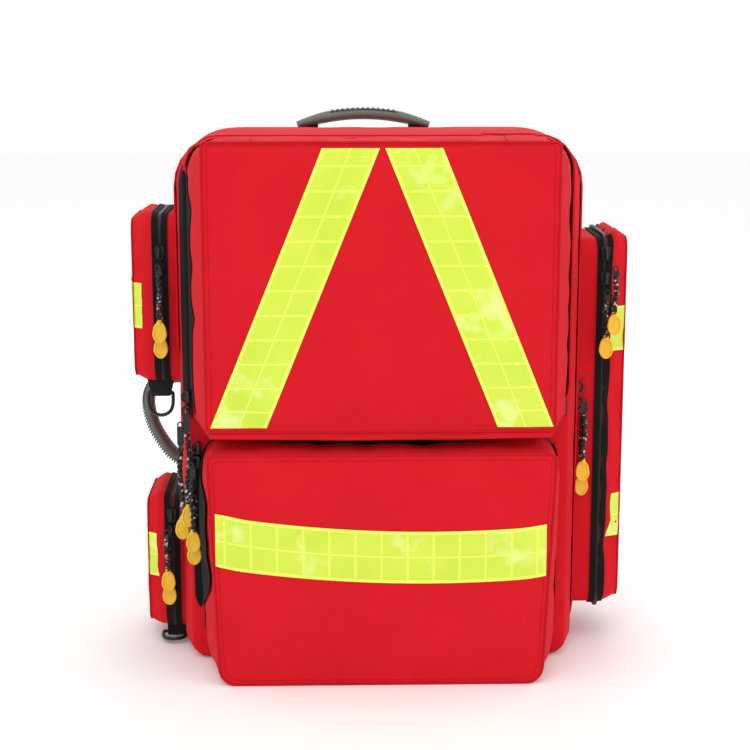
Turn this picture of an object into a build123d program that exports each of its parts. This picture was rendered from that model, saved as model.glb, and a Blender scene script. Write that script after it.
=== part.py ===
from build123d import *
import os

# Trauma backpack, millimetres. The front faces -Y, Z is up, the pack stands on z = 0.
# The body is a tray at the wearer's back, a lid hinged at the bottom edge of the main zip,
# two front pockets on the lid and three pockets on the sides.

wall = 4.0                  # padded cloth wall
body_half = 191.0           # half width of the main body
body_top = 505.0
back_face = 95.0            # outer face of the tray's back wall
tray_front = -23.0          # front edge of the rear tray
zip_front = -29.0           # front of the main zip strip
lid_rear = -29.3
lid_front = -62.0           # outer face of the lid's front wall
corner_top = 42.0
corner_bottom = 16.0

pocket_rear = -66.3         # rear edge of the front pockets' flaps
upper_face = -129.0
upper_bottom = 242.2
upper_half_face = 159.5
upper_half_rear = 177.0
shelf_bottom = 238.0
lower_face = -134.0
lower_split = 33.0          # the lower flap's hinge height
lower_top = 224.0
lower_half_face = 156.0
lower_half_rear = 168.0
lower_gap = 0.6

side_front = -20.0          # side pockets, along the pack's depth
side_rear = 88.0
side_wall = 3.5
zip_wide = 3.0              # each side pocket's parting line is this wide along X
# name, side, bottom, top at the body, top at the face, tape centres, start of the zip, outer face
side_pockets = [
    ("left_upper", -1, 265.0, 433.0, 421.0, [342.0], 207.5, 236.2),
    ("left_lower", -1, 14.0, 152.0, 143.0, [92.0], 202.0, 228.0),
    ("right", 1, 32.0, 412.0, 402.0, [318.0, 130.0], 217.0, 240.2),
]

tape_width = 50.0
tape_thick = 0.8
clear = 0.4
cord_radius = 2.8
tag_wide, tag_tall, tag_thick = 13.0, 21.0, 4.0


def block(x0, x1, y0, y1, z0, z1):
    return Pos((x0 + x1) / 2, (y0 + y1) / 2, (z0 + z1) / 2) * Box(x1 - x0, y1 - y0, z1 - z0)


def soft_block(x0, x1, y0, y1, z0, z1, radius):
    solid = block(x0, x1, y0, y1, z0, z1)
    return fillet(solid.edges(), radius)


def outline(y, half, bottom, top, r_top, r_bottom):
    face = Plane.XZ.offset(-y) * Pos(0, (bottom + top) / 2) * Rectangle(2 * half, top - bottom)
    face = fillet(face.vertices().group_by(Axis.Z)[-1], r_top)
    return fillet(face.vertices().group_by(Axis.Z)[0], r_bottom)


def side_outline(x, y0, y1, z0, z1, radius):
    face = Plane.YZ.offset(x) * Pos((y0 + y1) / 2, (z0 + z1) / 2) * Rectangle(y1 - y0, z1 - z0)
    return fillet(face.vertices(), radius)


def skin(sections):
    return loft(sections, ruled=True)


def save(name, *solids):
    shapes = []
    for solid in solids:
        shapes += list(solid.solids())
    shape = shapes[0] if len(shapes) == 1 else Compound(children=shapes)
    shape.label = name
    export_step(shape, "parts/" + name + ".step")


os.makedirs("parts", exist_ok=True)

# ---------------------------------------------------------------- rear tray
outer = skin([outline(back_face, 185, 6, 498, 36, 12), outline(88, body_half, 0, body_top, corner_top,
              corner_bottom), outline(tray_front, body_half, 0, body_top, corner_top, corner_bottom)])
inner = skin([outline(back_face - wall, 182, 9, 495, 34, 10),
              outline(86, body_half - wall, wall, body_top - wall, corner_top - wall, corner_bottom - wall),
              outline(tray_front - 1, body_half - wall, wall, body_top - wall, corner_top - wall,
                      corner_bottom - wall)])
gusset = block(-170, 170, zip_front, tray_front + 1, 0, 3)
save("rear_shell", outer - inner + gusset)

zip_ring = extrude(outline(zip_front, body_half - 0.4, 0.4, body_top - 0.4, corner_top, corner_bottom)
                   - outline(zip_front, body_half - 3.6, 3.6, body_top - 3.6, corner_top - 3, corner_bottom - 3),
                   amount=tray_front - zip_front, dir=(0, 1, 0))
zip_ring -= block(-200, 200, -40, 0, -1, 17)
save("main_zipper", zip_ring)

save("frame_sheet", fillet(block(-165, 165, 88.6, 91.0, 22, 483).edges().filter_by(Axis.Y), 20))
save("frame_stays", *[block(s * 70 - 11, s * 70 + 11, 85.6, 88.6, 45, 465) for s in (-1, 1)])
pouches = []
for column in (-1, 1):
    for low, high in ((14, 150), (160, 296), (306, 442)):
        pouches.append(soft_block(column * 88 - 80, column * 88 + 80, 40, 85, low, high, 6))
save("organiser_pouches", *pouches)

# ---------------------------------------------------------------- lid with the fixed parts of the front pockets
lid_outer = skin([outline(lid_rear, body_half, 0, body_top, corner_top, corner_bottom),
                  outline(lid_front + 1, 182.4, 0, body_top, 33, corner_bottom),
                  outline(lid_front, 181.6, 0.8, body_top - 0.8, 32, corner_bottom)])
lid_inner = skin([outline(lid_rear + 1, body_half - wall, wall, body_top - wall, corner_top - wall,
                          corner_bottom - wall),
                  outline(lid_front + wall, 178.8, wall, body_top - wall, 30, corner_bottom - wall)])

shelf_profile = [(-upper_half_rear + 2, lid_front + 1), (upper_half_rear - 2, lid_front + 1),
                 (upper_half_face - 2, upper_face + 0.5), (-upper_half_face + 2, upper_face + 0.5)]
shelf = extrude(Pos(0, 0, shelf_bottom) * make_face(Polyline(*shelf_profile, close=True)), amount=3.6)


def lower_outer(rear):
    return skin([outline(lower_face, lower_half_face - 3, 3, lower_top - 5, 12, 14),
                 outline(lower_face + 3, lower_half_face, 0, lower_top - 2, 14, 16),
                 outline(rear, lower_half_rear, 0, lower_top, 22, 16)])


def lower_inner(rear):
    return skin([outline(lower_face + wall, lower_half_face - wall, wall, lower_top - 6, 10, 12),
                 outline(rear, lower_half_rear - wall, wall, lower_top - wall, 18, 12)])


below = block(-250, 250, -200, 0, -10, lower_split - lower_gap)
bucket = lower_outer(lid_front + 2) & below
well = lower_inner(lid_front) & block(-250, 250, -200, 0, -10, lower_split + 5)
save("lid_shell", lid_outer + shelf + bucket - lid_inner - well)

# ---------------------------------------------------------------- front flaps
above = block(-250, 250, -200, 0, lower_split, 300)
save("lower_flap", (lower_outer(pocket_rear) - lower_inner(pocket_rear + 1)) & above)

upper_outer = skin([outline(upper_face, upper_half_face - 3, 225, body_top - 4, 9, 5),
                    outline(upper_face + 3, upper_half_face, 225, body_top, 12, 5),
                    outline(pocket_rear, upper_half_rear, 225, body_top - 1, 29, 5)])
upper_inner = skin([outline(upper_face + wall, upper_half_face - wall, 220, body_top - wall, 9, 5),
                    outline(pocket_rear + 1, upper_half_rear - wall, 220, body_top - 1 - wall, 25, 5)])
save("upper_flap", (upper_outer - upper_inner) & block(-250, 250, -200, 0, upper_bottom, 600))


def coil_ring(half, bottom, top, radius, cut):
    ring = extrude(outline(-66.0, half + 1.4, bottom, top, radius, 5)
                   - outline(-66.0, half - 3, bottom - 5, top - 4.4, radius - 3, 5),
                   amount=66.0 + lid_front, dir=(0, 1, 0))
    return ring & block(-250, 250, -200, 0, cut, 600)


save("front_zippers", coil_ring(upper_half_rear, 225, body_top, 30, upper_bottom),
     coil_ring(lower_half_rear, 5, lower_top + 1.2, 23, lower_split))

# lining panel with elastic loops inside the lid
panel = block(-150, 150, -57.8, -55.8, 60, 450)
loops = [block(x - 24, x + 24, -55.8, -50.8, z, z + 30) - block(x - 22, x + 22, -55.9, -52.2, z - 1, z + 31)
         for x in (-120, -60, 0, 60, 120) for z in (110, 250, 390)]
for loop in loops:
    panel += loop
save("organiser_panel", panel)

# ---------------------------------------------------------------- reflective tapes on the front
tapes = []
for side in (-1, 1):
    corners = [(side * 2, 500), (side * 54, 500), (side * 156, 247), (side * 106, 247)]
    face = make_face(Polyline(*[(x, upper_face, z) for x, z in corners], close=True))
    tapes.append(extrude(face, amount=tape_thick, dir=(0, -1, 0)))
save("upper_tapes", *tapes)

band_low = Spline((-152.5, lower_face, 118), (-70, lower_face, 106), (10, lower_face, 102), (152.5, lower_face, 106))
band_high = Spline((-152.5, lower_face, 167), (-70, lower_face, 157), (10, lower_face, 152), (152.5, lower_face, 156))
band = make_face([band_low, band_high, Line(band_low @ 0, band_high @ 0), Line(band_low @ 1, band_high @ 1)])
save("lower_tape", extrude(band, amount=tape_thick, dir=(0, -1, 0)))

# ---------------------------------------------------------------- side pockets
bases, coils = [], []
for name, side, z0, z1, z_face, tape_heights, zip_in, flap_out in side_pockets:
    radius = 16
    zip_out = zip_in + zip_wide
    flap_in = zip_out + 0.3
    bulge = flap_out - 11

    def hollow(levels):
        solid = skin([side_outline(side * x, side_front + i, side_rear - i, z0 + i, top - i, radius)
                      for x, i, top in levels])
        core = skin([side_outline(side * x, side_front + i, side_rear - i, z0 + i, top - i, radius - side_wall)
                     for x, i, top in [(x, i + side_wall, top) for x, i, top in levels]])
        return solid - core

    bases.append(hollow([(body_half, 0, z1), (zip_in, 0, z1 - 2)]))
    coils.append(hollow([(zip_in, 0.5, z1 - 2), (zip_out, 0.5, z1 - 2)]))
    skin_outer = skin([side_outline(side * flap_in, side_front, side_rear, z0, z1 - 2, radius),
                       side_outline(side * bulge, side_front + 2, side_rear - 2, z0 + 1, z_face + 4, 18),
                       side_outline(side * flap_out, side_front + 9, side_rear - 9, z0 + 8, z_face - 4, 14)])
    skin_inner = skin([side_outline(side * (flap_in - 1), side_front + side_wall, side_rear - side_wall,
                                    z0 + side_wall, z1 - 2 - side_wall, radius - side_wall),
                       side_outline(side * (bulge - 1.5), side_front + 5.5, side_rear - 5.5, z0 + 4.5, z_face + 0.5, 14),
                       side_outline(side * (flap_out - side_wall), side_front + 11, side_rear - 11, z0 + 10,
                                    z_face - 6, 12)])
    save(name + "_flap", skin_outer - skin_inner)
    strips = []
    for height in tape_heights:
        x0, x1 = sorted((side * flap_out, side * (flap_out + tape_thick)))
        strips.append(block(x0, x1, side_front + 10, side_rear - 10, height - 22, height + 22))
    save(name + "_tape", *strips)
save("side_pocket_bases", *bases)
save("side_zippers", *coils)

# ---------------------------------------------------------------- handles
handle_left, handle_right, handle_y, handle_pivot = -80.0, 55.0, 99.5, 486.0
grip = soft_block(handle_left, handle_right, handle_y - 7, handle_y + 8, 514.8, 526, 3.5)
legs = [block(x, x + 22, handle_y - 1.5, handle_y + 1.5, handle_pivot, 516)
        for x in (handle_left + 1, handle_right - 23)]
save("top_handle", grip + legs[0] + legs[1])

side_handle_y = 60.0
bow_out = Spline((-197.6, 262), (-218, 259), (-232, 236), (-226, 201), (-210, 173), (-197.6, 164))
bow_in = Spline((-197.6, 252), (-210, 248), (-220, 234), (-215, 206), (-204, 183), (-197.6, 176))
bow = make_face([bow_out, bow_in, Line(bow_out @ 0, bow_in @ 0), Line(bow_out @ 1, bow_in @ 1)])
bow = Plane.XZ.offset(-side_handle_y - 12.5) * bow
save("side_handle", extrude(bow, amount=25, dir=(0, -1, 0)))


# ---------------------------------------------------------------- D-rings
upper_ring_x, lower_ring_x = -213.5, -204.5
ring_wire = 1.8


def d_ring(height):
    # straight bar along X at the origin, the bow hanging down
    half, shoulder = 12.0, height - 13.0
    lower_half = Pos(0, -shoulder - 20) * Rectangle(60, 40)

    def shape(half, top):
        straight = Pos(0, (top - shoulder) / 2) * Rectangle(2 * half, top + shoulder)
        return straight + (Pos(0, -shoulder) * Circle(half) & lower_half)

    plate = shape(half + ring_wire, ring_wire) - shape(half - ring_wire, -ring_wire)
    return extrude(Plane.XZ * plate, amount=ring_wire, both=True)


upper_ring_y, upper_ring_z = 0.0, 253.0
lower_ring_y, lower_ring_z = 2.0, 5.2
save("upper_d_ring", Pos(upper_ring_x, upper_ring_y, upper_ring_z) * d_ring(22))
save("lower_d_ring", Pos(lower_ring_x, lower_ring_y, lower_ring_z) * Rot(-90, 0, 0) * d_ring(22))


def ring_tab(x, y, z_bar, z_top, neck):
    tab = block(x - 9.6, x + 9.6, y - 4, y + 4, z_bar - 3.4, z_top - 1.5)
    tab += block(neck, x + 9.6, y - 4, y + 4, z_top - 2, z_top)
    return tab - block(x - 12, x + 12, y - 2.6, y + 2.6, z_bar - 2.6, z_bar + 2.6)


# ---------------------------------------------------------------- harness on the back
pad_face = 108.0
pads = [soft_block(s * 65 - 53, s * 65 + 53, back_face, pad_face, 128, 458, 5) for s in (-1, 1)]
pads.append(soft_block(-68, 68, back_face, 106, 20, 108, 5))
save("back_pads", *pads)

strap_half = 30.0
strap_x = 72.0
strap_pivot_y, strap_pivot_z = 109.0, 463.0
strap_profile = [(109, 463), (121, 463), (130, 430), (130, 240), (124, 206), (112, 206), (118, 240), (118, 430)]
for name, side in (("left", -1), ("right", 1)):
    profile = make_face(Polyline(*[(side * strap_x - strap_half, y, z) for y, z in strap_profile], close=True))
    strap = extrude(profile, amount=2 * strap_half, dir=(1, 0, 0))
    tail = [(side * 62, 214), (side * 86, 214), (side * 164, 134), (side * 142, 130)]
    strap += extrude(make_face(Polyline(*[(x, 110.5, z) for x, z in tail], close=True)), amount=2.5, dir=(0, 1, 0))
    save(name + "_shoulder_strap", strap)
    sternum = block(-26, 42, 130.4, 132.4, 320, 340) + soft_block(-34, -8, 129.2, 134.8, 316, 344, 1.5)
    save(name + "_sternum_strap", Pos(side * 44 + (2 if side < 0 else -2), 0, 0)
         * (sternum if side > 0 else mirror(sternum, Plane.YZ)))

wing_root, wing_tip, wing_in, wing_out = 72.5, 168.0, 98.0, 110.0
for name, side, part in (("left", -1, "hip_buckle_plug"), ("right", 1, "hip_buckle_socket")):
    x0, x1 = sorted((side * wing_root, side * wing_tip))
    wing = soft_block(x0, x1, wing_in, wing_out, 22, 96, 4)
    x0, x1 = sorted((side * 152, side * 163))
    fold = block(x0, x1, wing_out - 1, 115.6, 46, 72)
    x0, x1 = sorted((side * 80, side * 163))
    save(name + "_hip_wing", wing + fold + block(x0, x1, 113.6, 115.6, 46, 72))
    x0, x1 = sorted((side * 76, side * 118))
    buckle = soft_block(x0, x1, 110.4, 118.8, 41, 77, 2)
    save(part, buckle - block(x0 - 1, x1 + 1, 113.2, 116.0, 45.6, 72.4))

# ---------------------------------------------------------------- sewn anchors
anchors = [block(x - 2, x + 24, back_face, 97.8, 470, 500) for x in (handle_left + 1, handle_right - 23)]
anchors += [block(-193.9, -body_half, side_handle_y - 13, side_handle_y + 13, z, z + 15) for z in (161, 247)]
anchors += [ring_tab(upper_ring_x, upper_ring_y, upper_ring_z, 265, -207),
            ring_tab(lower_ring_x, lower_ring_y, lower_ring_z, 14, -201.8)]
anchors += [block(s * strap_x - 28, s * strap_x + 28, back_face, 108.4, 463.6, 469.6) for s in (-1, 1)]
anchors += [block(s * 155 - 14, s * 155 + 14, back_face, 113, 106, 128) for s in (-1, 1)]
save("webbing_anchors", *anchors)


# ---------------------------------------------------------------- zip sliders and their pulls
def slider(x, y, z, turn):
    body = block(-4.5, 4.5, -4.0, -clear, -6.5, 6.5)
    bridge = block(-1.6, 1.6, -8, -3.9, -5, 5) - block(-2, 2, -6.6, -4.0, -3.2, 3.2)
    return Pos(x, y, z) * Rot(0, 0, turn) * (body + bridge)


def pull(x, y, z, puller, length):
    plate = block(x - 3.2, x + 3.2, y - 1, y + 1, z - puller, z) - block(x - 1.6, x + 1.6, y - 2, y + 2, z - 5, z - 1.6)
    cord = Pos(x, y, z - puller - length / 2) * Cylinder(cord_radius, length)
    oval = Plane.XZ * Ellipse(tag_wide / 2, tag_tall / 2)
    tag = Pos(x, y, z - puller - length - tag_tall / 2) * extrude(oval, amount=tag_thick / 2, both=True)
    return [plate, cord, tag]


# name, slider seat (x, y), turn about Z, slider heights, pull axes (x, y), puller and cord lengths
hang = 10.0                 # from a slider's middle down to its puller
pairs = [
    ("upper", (-178.5, -68.5), -90, (263, 249), ((-182, -77), (-188.5, -70)), 22, 72),
    ("lower", (-169.5, -70.8), -90, (214, 200), ((-176.5, -91), (-176.5, -84)), 14, 52),
    ("main", (191.0, -26.2), 90, (262, 246), ((199.5, -33), (199.5, -26)), 14, 48),
    ("left_upper", (-209, -20.0), 0, (394, 378), ((-209, -38.5), (-209, -31.5)), 10, 44),
    ("left_lower", (-203.5, -20.0), 0, (134, 118), ((-206.5, -38.5), (-206.5, -31.5)), 6, 36),
    ("right", (218.5, -20.0), 0, (392, 368), ((226, -38.5), (219.5, -31.5)), 10, 36),
]
for name, seat, turn, heights, axes, puller, length in pairs:
    for letter, height, axis in zip("ab", heights, axes):
        save(name + "_slider_" + letter, slider(seat[0], seat[1], height, turn))
        save(name + "_pull_" + letter, *pull(axis[0], axis[1], height - hang, puller, length))
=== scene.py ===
import bpy
import math
from mathutils import Vector, Matrix


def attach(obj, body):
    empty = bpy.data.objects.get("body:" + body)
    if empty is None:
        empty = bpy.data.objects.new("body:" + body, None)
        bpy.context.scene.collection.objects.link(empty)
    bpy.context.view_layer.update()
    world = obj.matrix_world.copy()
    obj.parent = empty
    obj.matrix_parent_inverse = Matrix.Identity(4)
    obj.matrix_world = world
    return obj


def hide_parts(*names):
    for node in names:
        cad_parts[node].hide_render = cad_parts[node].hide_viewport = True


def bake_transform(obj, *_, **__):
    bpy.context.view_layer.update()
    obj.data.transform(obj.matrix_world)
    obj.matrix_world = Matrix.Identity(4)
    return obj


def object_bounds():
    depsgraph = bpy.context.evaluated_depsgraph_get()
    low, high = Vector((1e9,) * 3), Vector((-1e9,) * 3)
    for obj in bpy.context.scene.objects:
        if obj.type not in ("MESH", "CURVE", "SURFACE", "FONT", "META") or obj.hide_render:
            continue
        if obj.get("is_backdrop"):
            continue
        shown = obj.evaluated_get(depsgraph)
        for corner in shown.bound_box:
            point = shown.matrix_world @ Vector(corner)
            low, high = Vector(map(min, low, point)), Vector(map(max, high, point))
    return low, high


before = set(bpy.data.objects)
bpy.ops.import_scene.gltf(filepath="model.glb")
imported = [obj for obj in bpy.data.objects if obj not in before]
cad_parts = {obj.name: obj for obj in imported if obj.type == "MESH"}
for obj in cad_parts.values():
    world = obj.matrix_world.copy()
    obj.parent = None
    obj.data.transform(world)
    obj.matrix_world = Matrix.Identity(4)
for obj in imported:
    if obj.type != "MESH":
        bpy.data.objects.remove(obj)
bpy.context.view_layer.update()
mm = 0.001


def at(x, y, z):
    return Vector((x * mm, y * mm, z * mm))


# camera and light

camera = {"place": (-0.040, -1.630, 0.600), "pitch": 11.46, "turn": 1.31, "lens": 81.1}
bpy.ops.object.camera_add(location=camera["place"],
                          rotation=(math.radians(90 - camera["pitch"]), 0, math.radians(-camera["turn"])))
cameraObject = bpy.context.object
cameraObject.data.lens = camera["lens"]
cameraObject.data.sensor_width = 36
bpy.context.scene.camera = cameraObject
bpy.context.scene.view_settings.view_transform = "Standard"

studio = {"keyLamp": (-0.7, -2.0, 2.2, 9), "fillLamp": (1.7, -1.3, 1.0, 4), "topLamp": (0.1, -0.6, 2.2, 5),
          "backLamp": (0.3, 2.0, 1.4, 9), "lampSize": 1.3, "world": 1.0}
for lampName in ("keyLamp", "fillLamp", "topLamp", "backLamp"):
    x, y, z, power = studio[lampName]
    bpy.ops.object.light_add(type="AREA", location=(x, y, z))
    lamp = bpy.context.object
    lamp.name = lampName
    lamp.data.energy = power
    lamp.data.size = studio["lampSize"]
    lamp.rotation_euler = (Vector((0, 0, 0.25)) - lamp.location).to_track_quat("-Z", "Y").to_euler()
world = bpy.data.worlds.new("studioWorld")
bpy.context.scene.world = world
world.use_nodes = True
world.node_tree.nodes["Background"].inputs["Color"].default_value = (1, 1, 1, 1)
world.node_tree.nodes["Background"].inputs["Strength"].default_value = studio["world"]
print("camera and light")


# shader maths

class Wire:
    def __init__(self, graph, socket):
        self.graph, self.socket = graph, socket

    def sum(self, kind, other, swap=False):
        pair = (other, self) if swap else (self, other)
        return self.graph.add("ShaderNodeMath", {"operation": kind}, {0: pair[0], 1: pair[1]})

    def __add__(self, other): return self.sum("ADD", other)
    def __radd__(self, other): return self.sum("ADD", other, True)
    def __sub__(self, other): return self.sum("SUBTRACT", other)
    def __rsub__(self, other): return self.sum("SUBTRACT", other, True)
    def __mul__(self, other): return self.sum("MULTIPLY", other)
    def __rmul__(self, other): return self.sum("MULTIPLY", other, True)
    def __truediv__(self, other): return self.sum("DIVIDE", other)
    def __gt__(self, other): return self.sum("GREATER_THAN", other)
    def __lt__(self, other): return self.sum("LESS_THAN", other)

    def use(self, kind, *more):
        return self.graph.add("ShaderNodeMath", {"operation": kind}, dict(enumerate((self,) + more)))


class Graph:
    def __init__(self, name):
        self.material = bpy.data.materials.new(name)
        self.material.use_nodes = True
        self.tree = self.material.node_tree
        self.shader = self.tree.nodes["Principled BSDF"]

    def add(self, kind, settings=None, inputs=None, out=0):
        node = self.tree.nodes.new(kind)
        for key, value in (settings or {}).items():
            setattr(node, key, value)
        for key, value in (inputs or {}).items():
            if isinstance(value, Wire):
                self.tree.links.new(value.socket, node.inputs[key])
            else:
                node.inputs[key].default_value = value
        return Wire(self, node.outputs[out])

    def place(self, name="Object"):
        return self.add("ShaderNodeTexCoord", {}, {}, name)

    def split(self, vector):
        return [self.add("ShaderNodeSeparateXYZ", {}, {0: vector}, axis) for axis in "XYZ"]

    def noise(self, scale, detail=3, vector=None, rough=0.5):
        return self.add("ShaderNodeTexNoise", {}, {"Vector": vector or self.place(), "Scale": scale,
                                                   "Detail": detail, "Roughness": rough})

    def mix(self, factor, low, high):
        return self.add("ShaderNodeMix", {"data_type": "RGBA"}, {0: factor, 6: low, 7: high}, 2)

    def bump(self, height, distance, strength=1.0):
        return self.add("ShaderNodeBump", {}, {"Height": height, "Distance": distance, "Strength": strength})

    def finish(self, inputs):
        for key, value in inputs.items():
            if isinstance(value, Wire):
                self.tree.links.new(value.socket, self.shader.inputs[key])
            else:
                self.shader.inputs[key].default_value = value
        return self.material


def weave(graph, pitch):
    # threads cross along the two axes that a face shows
    x, y, z = [axis * (2 * math.pi / pitch) for axis in graph.split(graph.place())]
    facing = graph.add("ShaderNodeNewGeometry", {}, {}, "Normal")
    normal = [axis.use("ABSOLUTE") for axis in graph.split(facing)]
    sx, sy, sz = x.use("SINE"), y.use("SINE"), z.use("SINE")
    return sx * sz * normal[1] + sy * sz * normal[0] + sx * sy * normal[2]


def clothMaterial(name, dark, light, pitch=1.3 * mm, rough=0.8, gloss=0.16):
    graph = Graph(name)
    threads = weave(graph, pitch)
    slub = graph.noise(900, 2)
    clouds = graph.noise(14, 3)
    mix = (clouds * 0.6 + slub * 0.4 + threads * 0.14).use("MAXIMUM", 0.0)
    color = graph.mix(mix.use("MINIMUM", 1.0), dark, light)
    puckers = graph.noise(55, 2) * 4.0
    normal = graph.bump(threads * 0.5 + slub * 0.5 + puckers, 0.0003, 0.45)
    return graph.finish({"Base Color": color, "Roughness": (slub * 0.12 + (rough - 0.06)), "Normal": normal,
                         "Specular IOR Level": gloss})


redCloth = clothMaterial("redCloth", (0.53, 0.0035, 0.009, 1), (0.71, 0.010, 0.022, 1))
seamCloth = clothMaterial("seamCloth", (0.44, 0.003, 0.008, 1), (0.60, 0.007, 0.017, 1), 0.9 * mm)
greyLining = clothMaterial("greyLining", (0.075, 0.075, 0.082, 1), (0.13, 0.13, 0.14, 1), 0.9 * mm)
blackWebbing = clothMaterial("blackWebbing", (0.005, 0.005, 0.006, 1), (0.026, 0.026, 0.028, 1), 2.0 * mm)
zipCloth = clothMaterial("zipCloth", (0.0025, 0.003, 0.003, 1), (0.009, 0.010, 0.009, 1), 0.9 * mm)
pouchCloth = clothMaterial("pouchCloth", (0.33, 0.004, 0.010, 1), (0.50, 0.010, 0.020, 1))


def threadMaterial(name, color):
    graph = Graph(name)
    twist = graph.noise(2600, 1)
    dark = tuple(c * 0.55 for c in color[:3]) + (1,)
    return graph.finish({"Base Color": graph.mix(twist, dark, color), "Roughness": twist * 0.2 + 0.6,
                         "Specular IOR Level": 0.12, "Normal": graph.bump(twist, 0.0001, 0.5)})


redThread = threadMaterial("redThread", (0.62, 0.007, 0.016, 1))
blackThread = threadMaterial("blackThread", (0.02, 0.02, 0.022, 1))


def meshMaterial():
    graph = Graph("spacerMesh")
    cells = graph.add("ShaderNodeTexVoronoi", {"feature": "DISTANCE_TO_EDGE"},
                      {"Vector": graph.place(), "Scale": 260.0})
    holes = cells > 0.28
    color = graph.mix(holes, (0.026, 0.026, 0.030, 1), (0.005, 0.005, 0.006, 1))
    return graph.finish({"Base Color": color, "Roughness": 0.85, "Specular IOR Level": 0.3,
                         "Normal": graph.bump(1 - holes, 0.0008, 0.6)})


def tapeMaterial():
    # prismatic film: two rows of welded squares, a brighter welded rim and pale patches that are painted
    # reflections of the studio
    tape = {"square": 0.024, "weldLong": 0.462, "weldWide": 0.0007, "rim": 0.0212}
    graph = Graph("reflectiveTape")
    u, v, spare = graph.split(graph.place("UV"))
    crossWeld = ((u / tape["square"]).use("FRACT") - 0.5).use("ABSOLUTE") > tape["weldLong"]
    centreWeld = v.use("ABSOLUTE") < tape["weldWide"]
    rim = v.use("ABSOLUTE") > tape["rim"]
    weld = crossWeld.use("MAXIMUM", centreWeld).use("MAXIMUM", rim)
    prism = ((u * 1300).use("SINE") * (v * 1300).use("SINE")).use("ABSOLUTE")
    blotch = graph.noise(26, 4)
    # pale patches mixed into the film colour: painted reflections (glints) of the studio
    paintedGlints = ((graph.noise(19, 3, rough=0.65) - 0.56) * 9).use("MAXIMUM", 0.0).use("MINIMUM", 1.0)
    film = graph.mix(blotch, (0.45, 0.63, 0.002, 1), (0.64, 0.75, 0.05, 1))
    film = graph.mix(paintedGlints * 0.55, film, (0.82, 0.88, 0.42, 1))
    color = graph.mix(weld, film, (0.70, 0.84, 0.08, 1))
    # the emission makes the tape glow though it is no lamp: painted glow, brighter on the welds
    glow = graph.mix(weld, (0.55, 0.80, 0.0, 1), (0.80, 1.0, 0.04, 1))
    return graph.finish({"Base Color": color, "Roughness": (blotch * 0.12 + 0.16 + weld * 0.14),
                         "Normal": graph.bump(prism * (1 - weld) + weld * 1.4, 0.0002, 0.25),
                         "Coat Weight": 0.5, "Coat Roughness": 0.08, "Emission Color": glow,
                         "Emission Strength": 0.10})


def coilMaterial():
    graph = Graph("coilZip")
    x, y, z = graph.split(graph.place())
    rows = ((x + y + z) * (2 * math.pi / 0.0012)).use("SINE")
    color = graph.mix(rows > 0.2, (0.005, 0.005, 0.005, 1), (0.022, 0.023, 0.022, 1))
    return graph.finish({"Base Color": color, "Roughness": 0.5, "Normal": graph.bump(rows, 0.0003, 0.5)})


def rubberMaterial(name, dark, light, rough=0.5):
    graph = Graph(name)
    grain = graph.noise(2200, 2)
    rubbed = graph.noise(40, 4)
    return graph.finish({"Base Color": graph.mix(rubbed, dark, light),
                         "Roughness": grain * 0.2 + (rough - 0.1), "Normal": graph.bump(grain, 0.00015, 0.4)})


def cordMaterial():
    # black braid with white, red and green flecks
    graph = Graph("fleckedCord")
    braid = graph.noise(700, 1)
    pick = graph.add("ShaderNodeTexVoronoi", {}, {"Vector": graph.place(), "Scale": 430.0}, 1)
    hue = graph.split(pick)[0]
    base = graph.mix(braid, (0.003, 0.003, 0.004, 1), (0.022, 0.022, 0.022, 1))
    white = graph.mix(hue > 0.90, base, (0.50, 0.50, 0.48, 1))
    red = graph.mix((hue > 0.78) * (hue < 0.81), white, (0.40, 0.02, 0.03, 1))
    green = graph.mix((hue > 0.72) * (hue < 0.745), red, (0.05, 0.22, 0.09, 1))
    return graph.finish({"Base Color": green, "Roughness": 0.7, "Normal": graph.bump(braid, 0.0004, 0.6)})


def metalMaterial(name, color, rough, metallic=0.0):
    graph = Graph(name)
    wear = graph.noise(300, 5)
    worn = tuple(c * 0.7 for c in color[:3]) + (1,)
    return graph.finish({"Base Color": graph.mix(wear, worn, color), "Roughness": wear * 0.2 + (rough - 0.1),
                         "Metallic": metallic})


spacerMesh = meshMaterial()
reflectiveTape = tapeMaterial()
coilZip = coilMaterial()
greyRubber = rubberMaterial("greyRubber", (0.085, 0.095, 0.083, 1), (0.15, 0.165, 0.148, 1))
darkRubber = rubberMaterial("darkRubber", (0.012, 0.013, 0.012, 1), (0.03, 0.032, 0.03, 1))
blackMoulding = rubberMaterial("blackMoulding", (0.007, 0.007, 0.008, 1), (0.020, 0.020, 0.022, 1), 0.42)
amberMoulding = rubberMaterial("amberMoulding", (0.78, 0.45, 0.006, 1), (0.90, 0.56, 0.02, 1), 0.42)
fleckedCord = cordMaterial()
blackEnamel = metalMaterial("blackEnamel", (0.016, 0.016, 0.017, 1), 0.32, 0.3)
millAluminium = metalMaterial("millAluminium", (0.72, 0.73, 0.75, 1), 0.4, 1.0)
plainSheet = rubberMaterial("plainSheet", (0.03, 0.03, 0.03, 1), (0.055, 0.055, 0.06, 1), 0.5)
print("materials")


# modelling helpers

def objectMode():
    if bpy.context.mode != "OBJECT":
        bpy.ops.object.mode_set(mode="OBJECT")


def noneSelected():
    objectMode()
    bpy.ops.object.select_all(action="DESELECT")


def only(*chosen):
    noneSelected()
    for piece in chosen:
        piece.select_set(True)
    bpy.context.view_layer.objects.active = chosen[-1]


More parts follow.
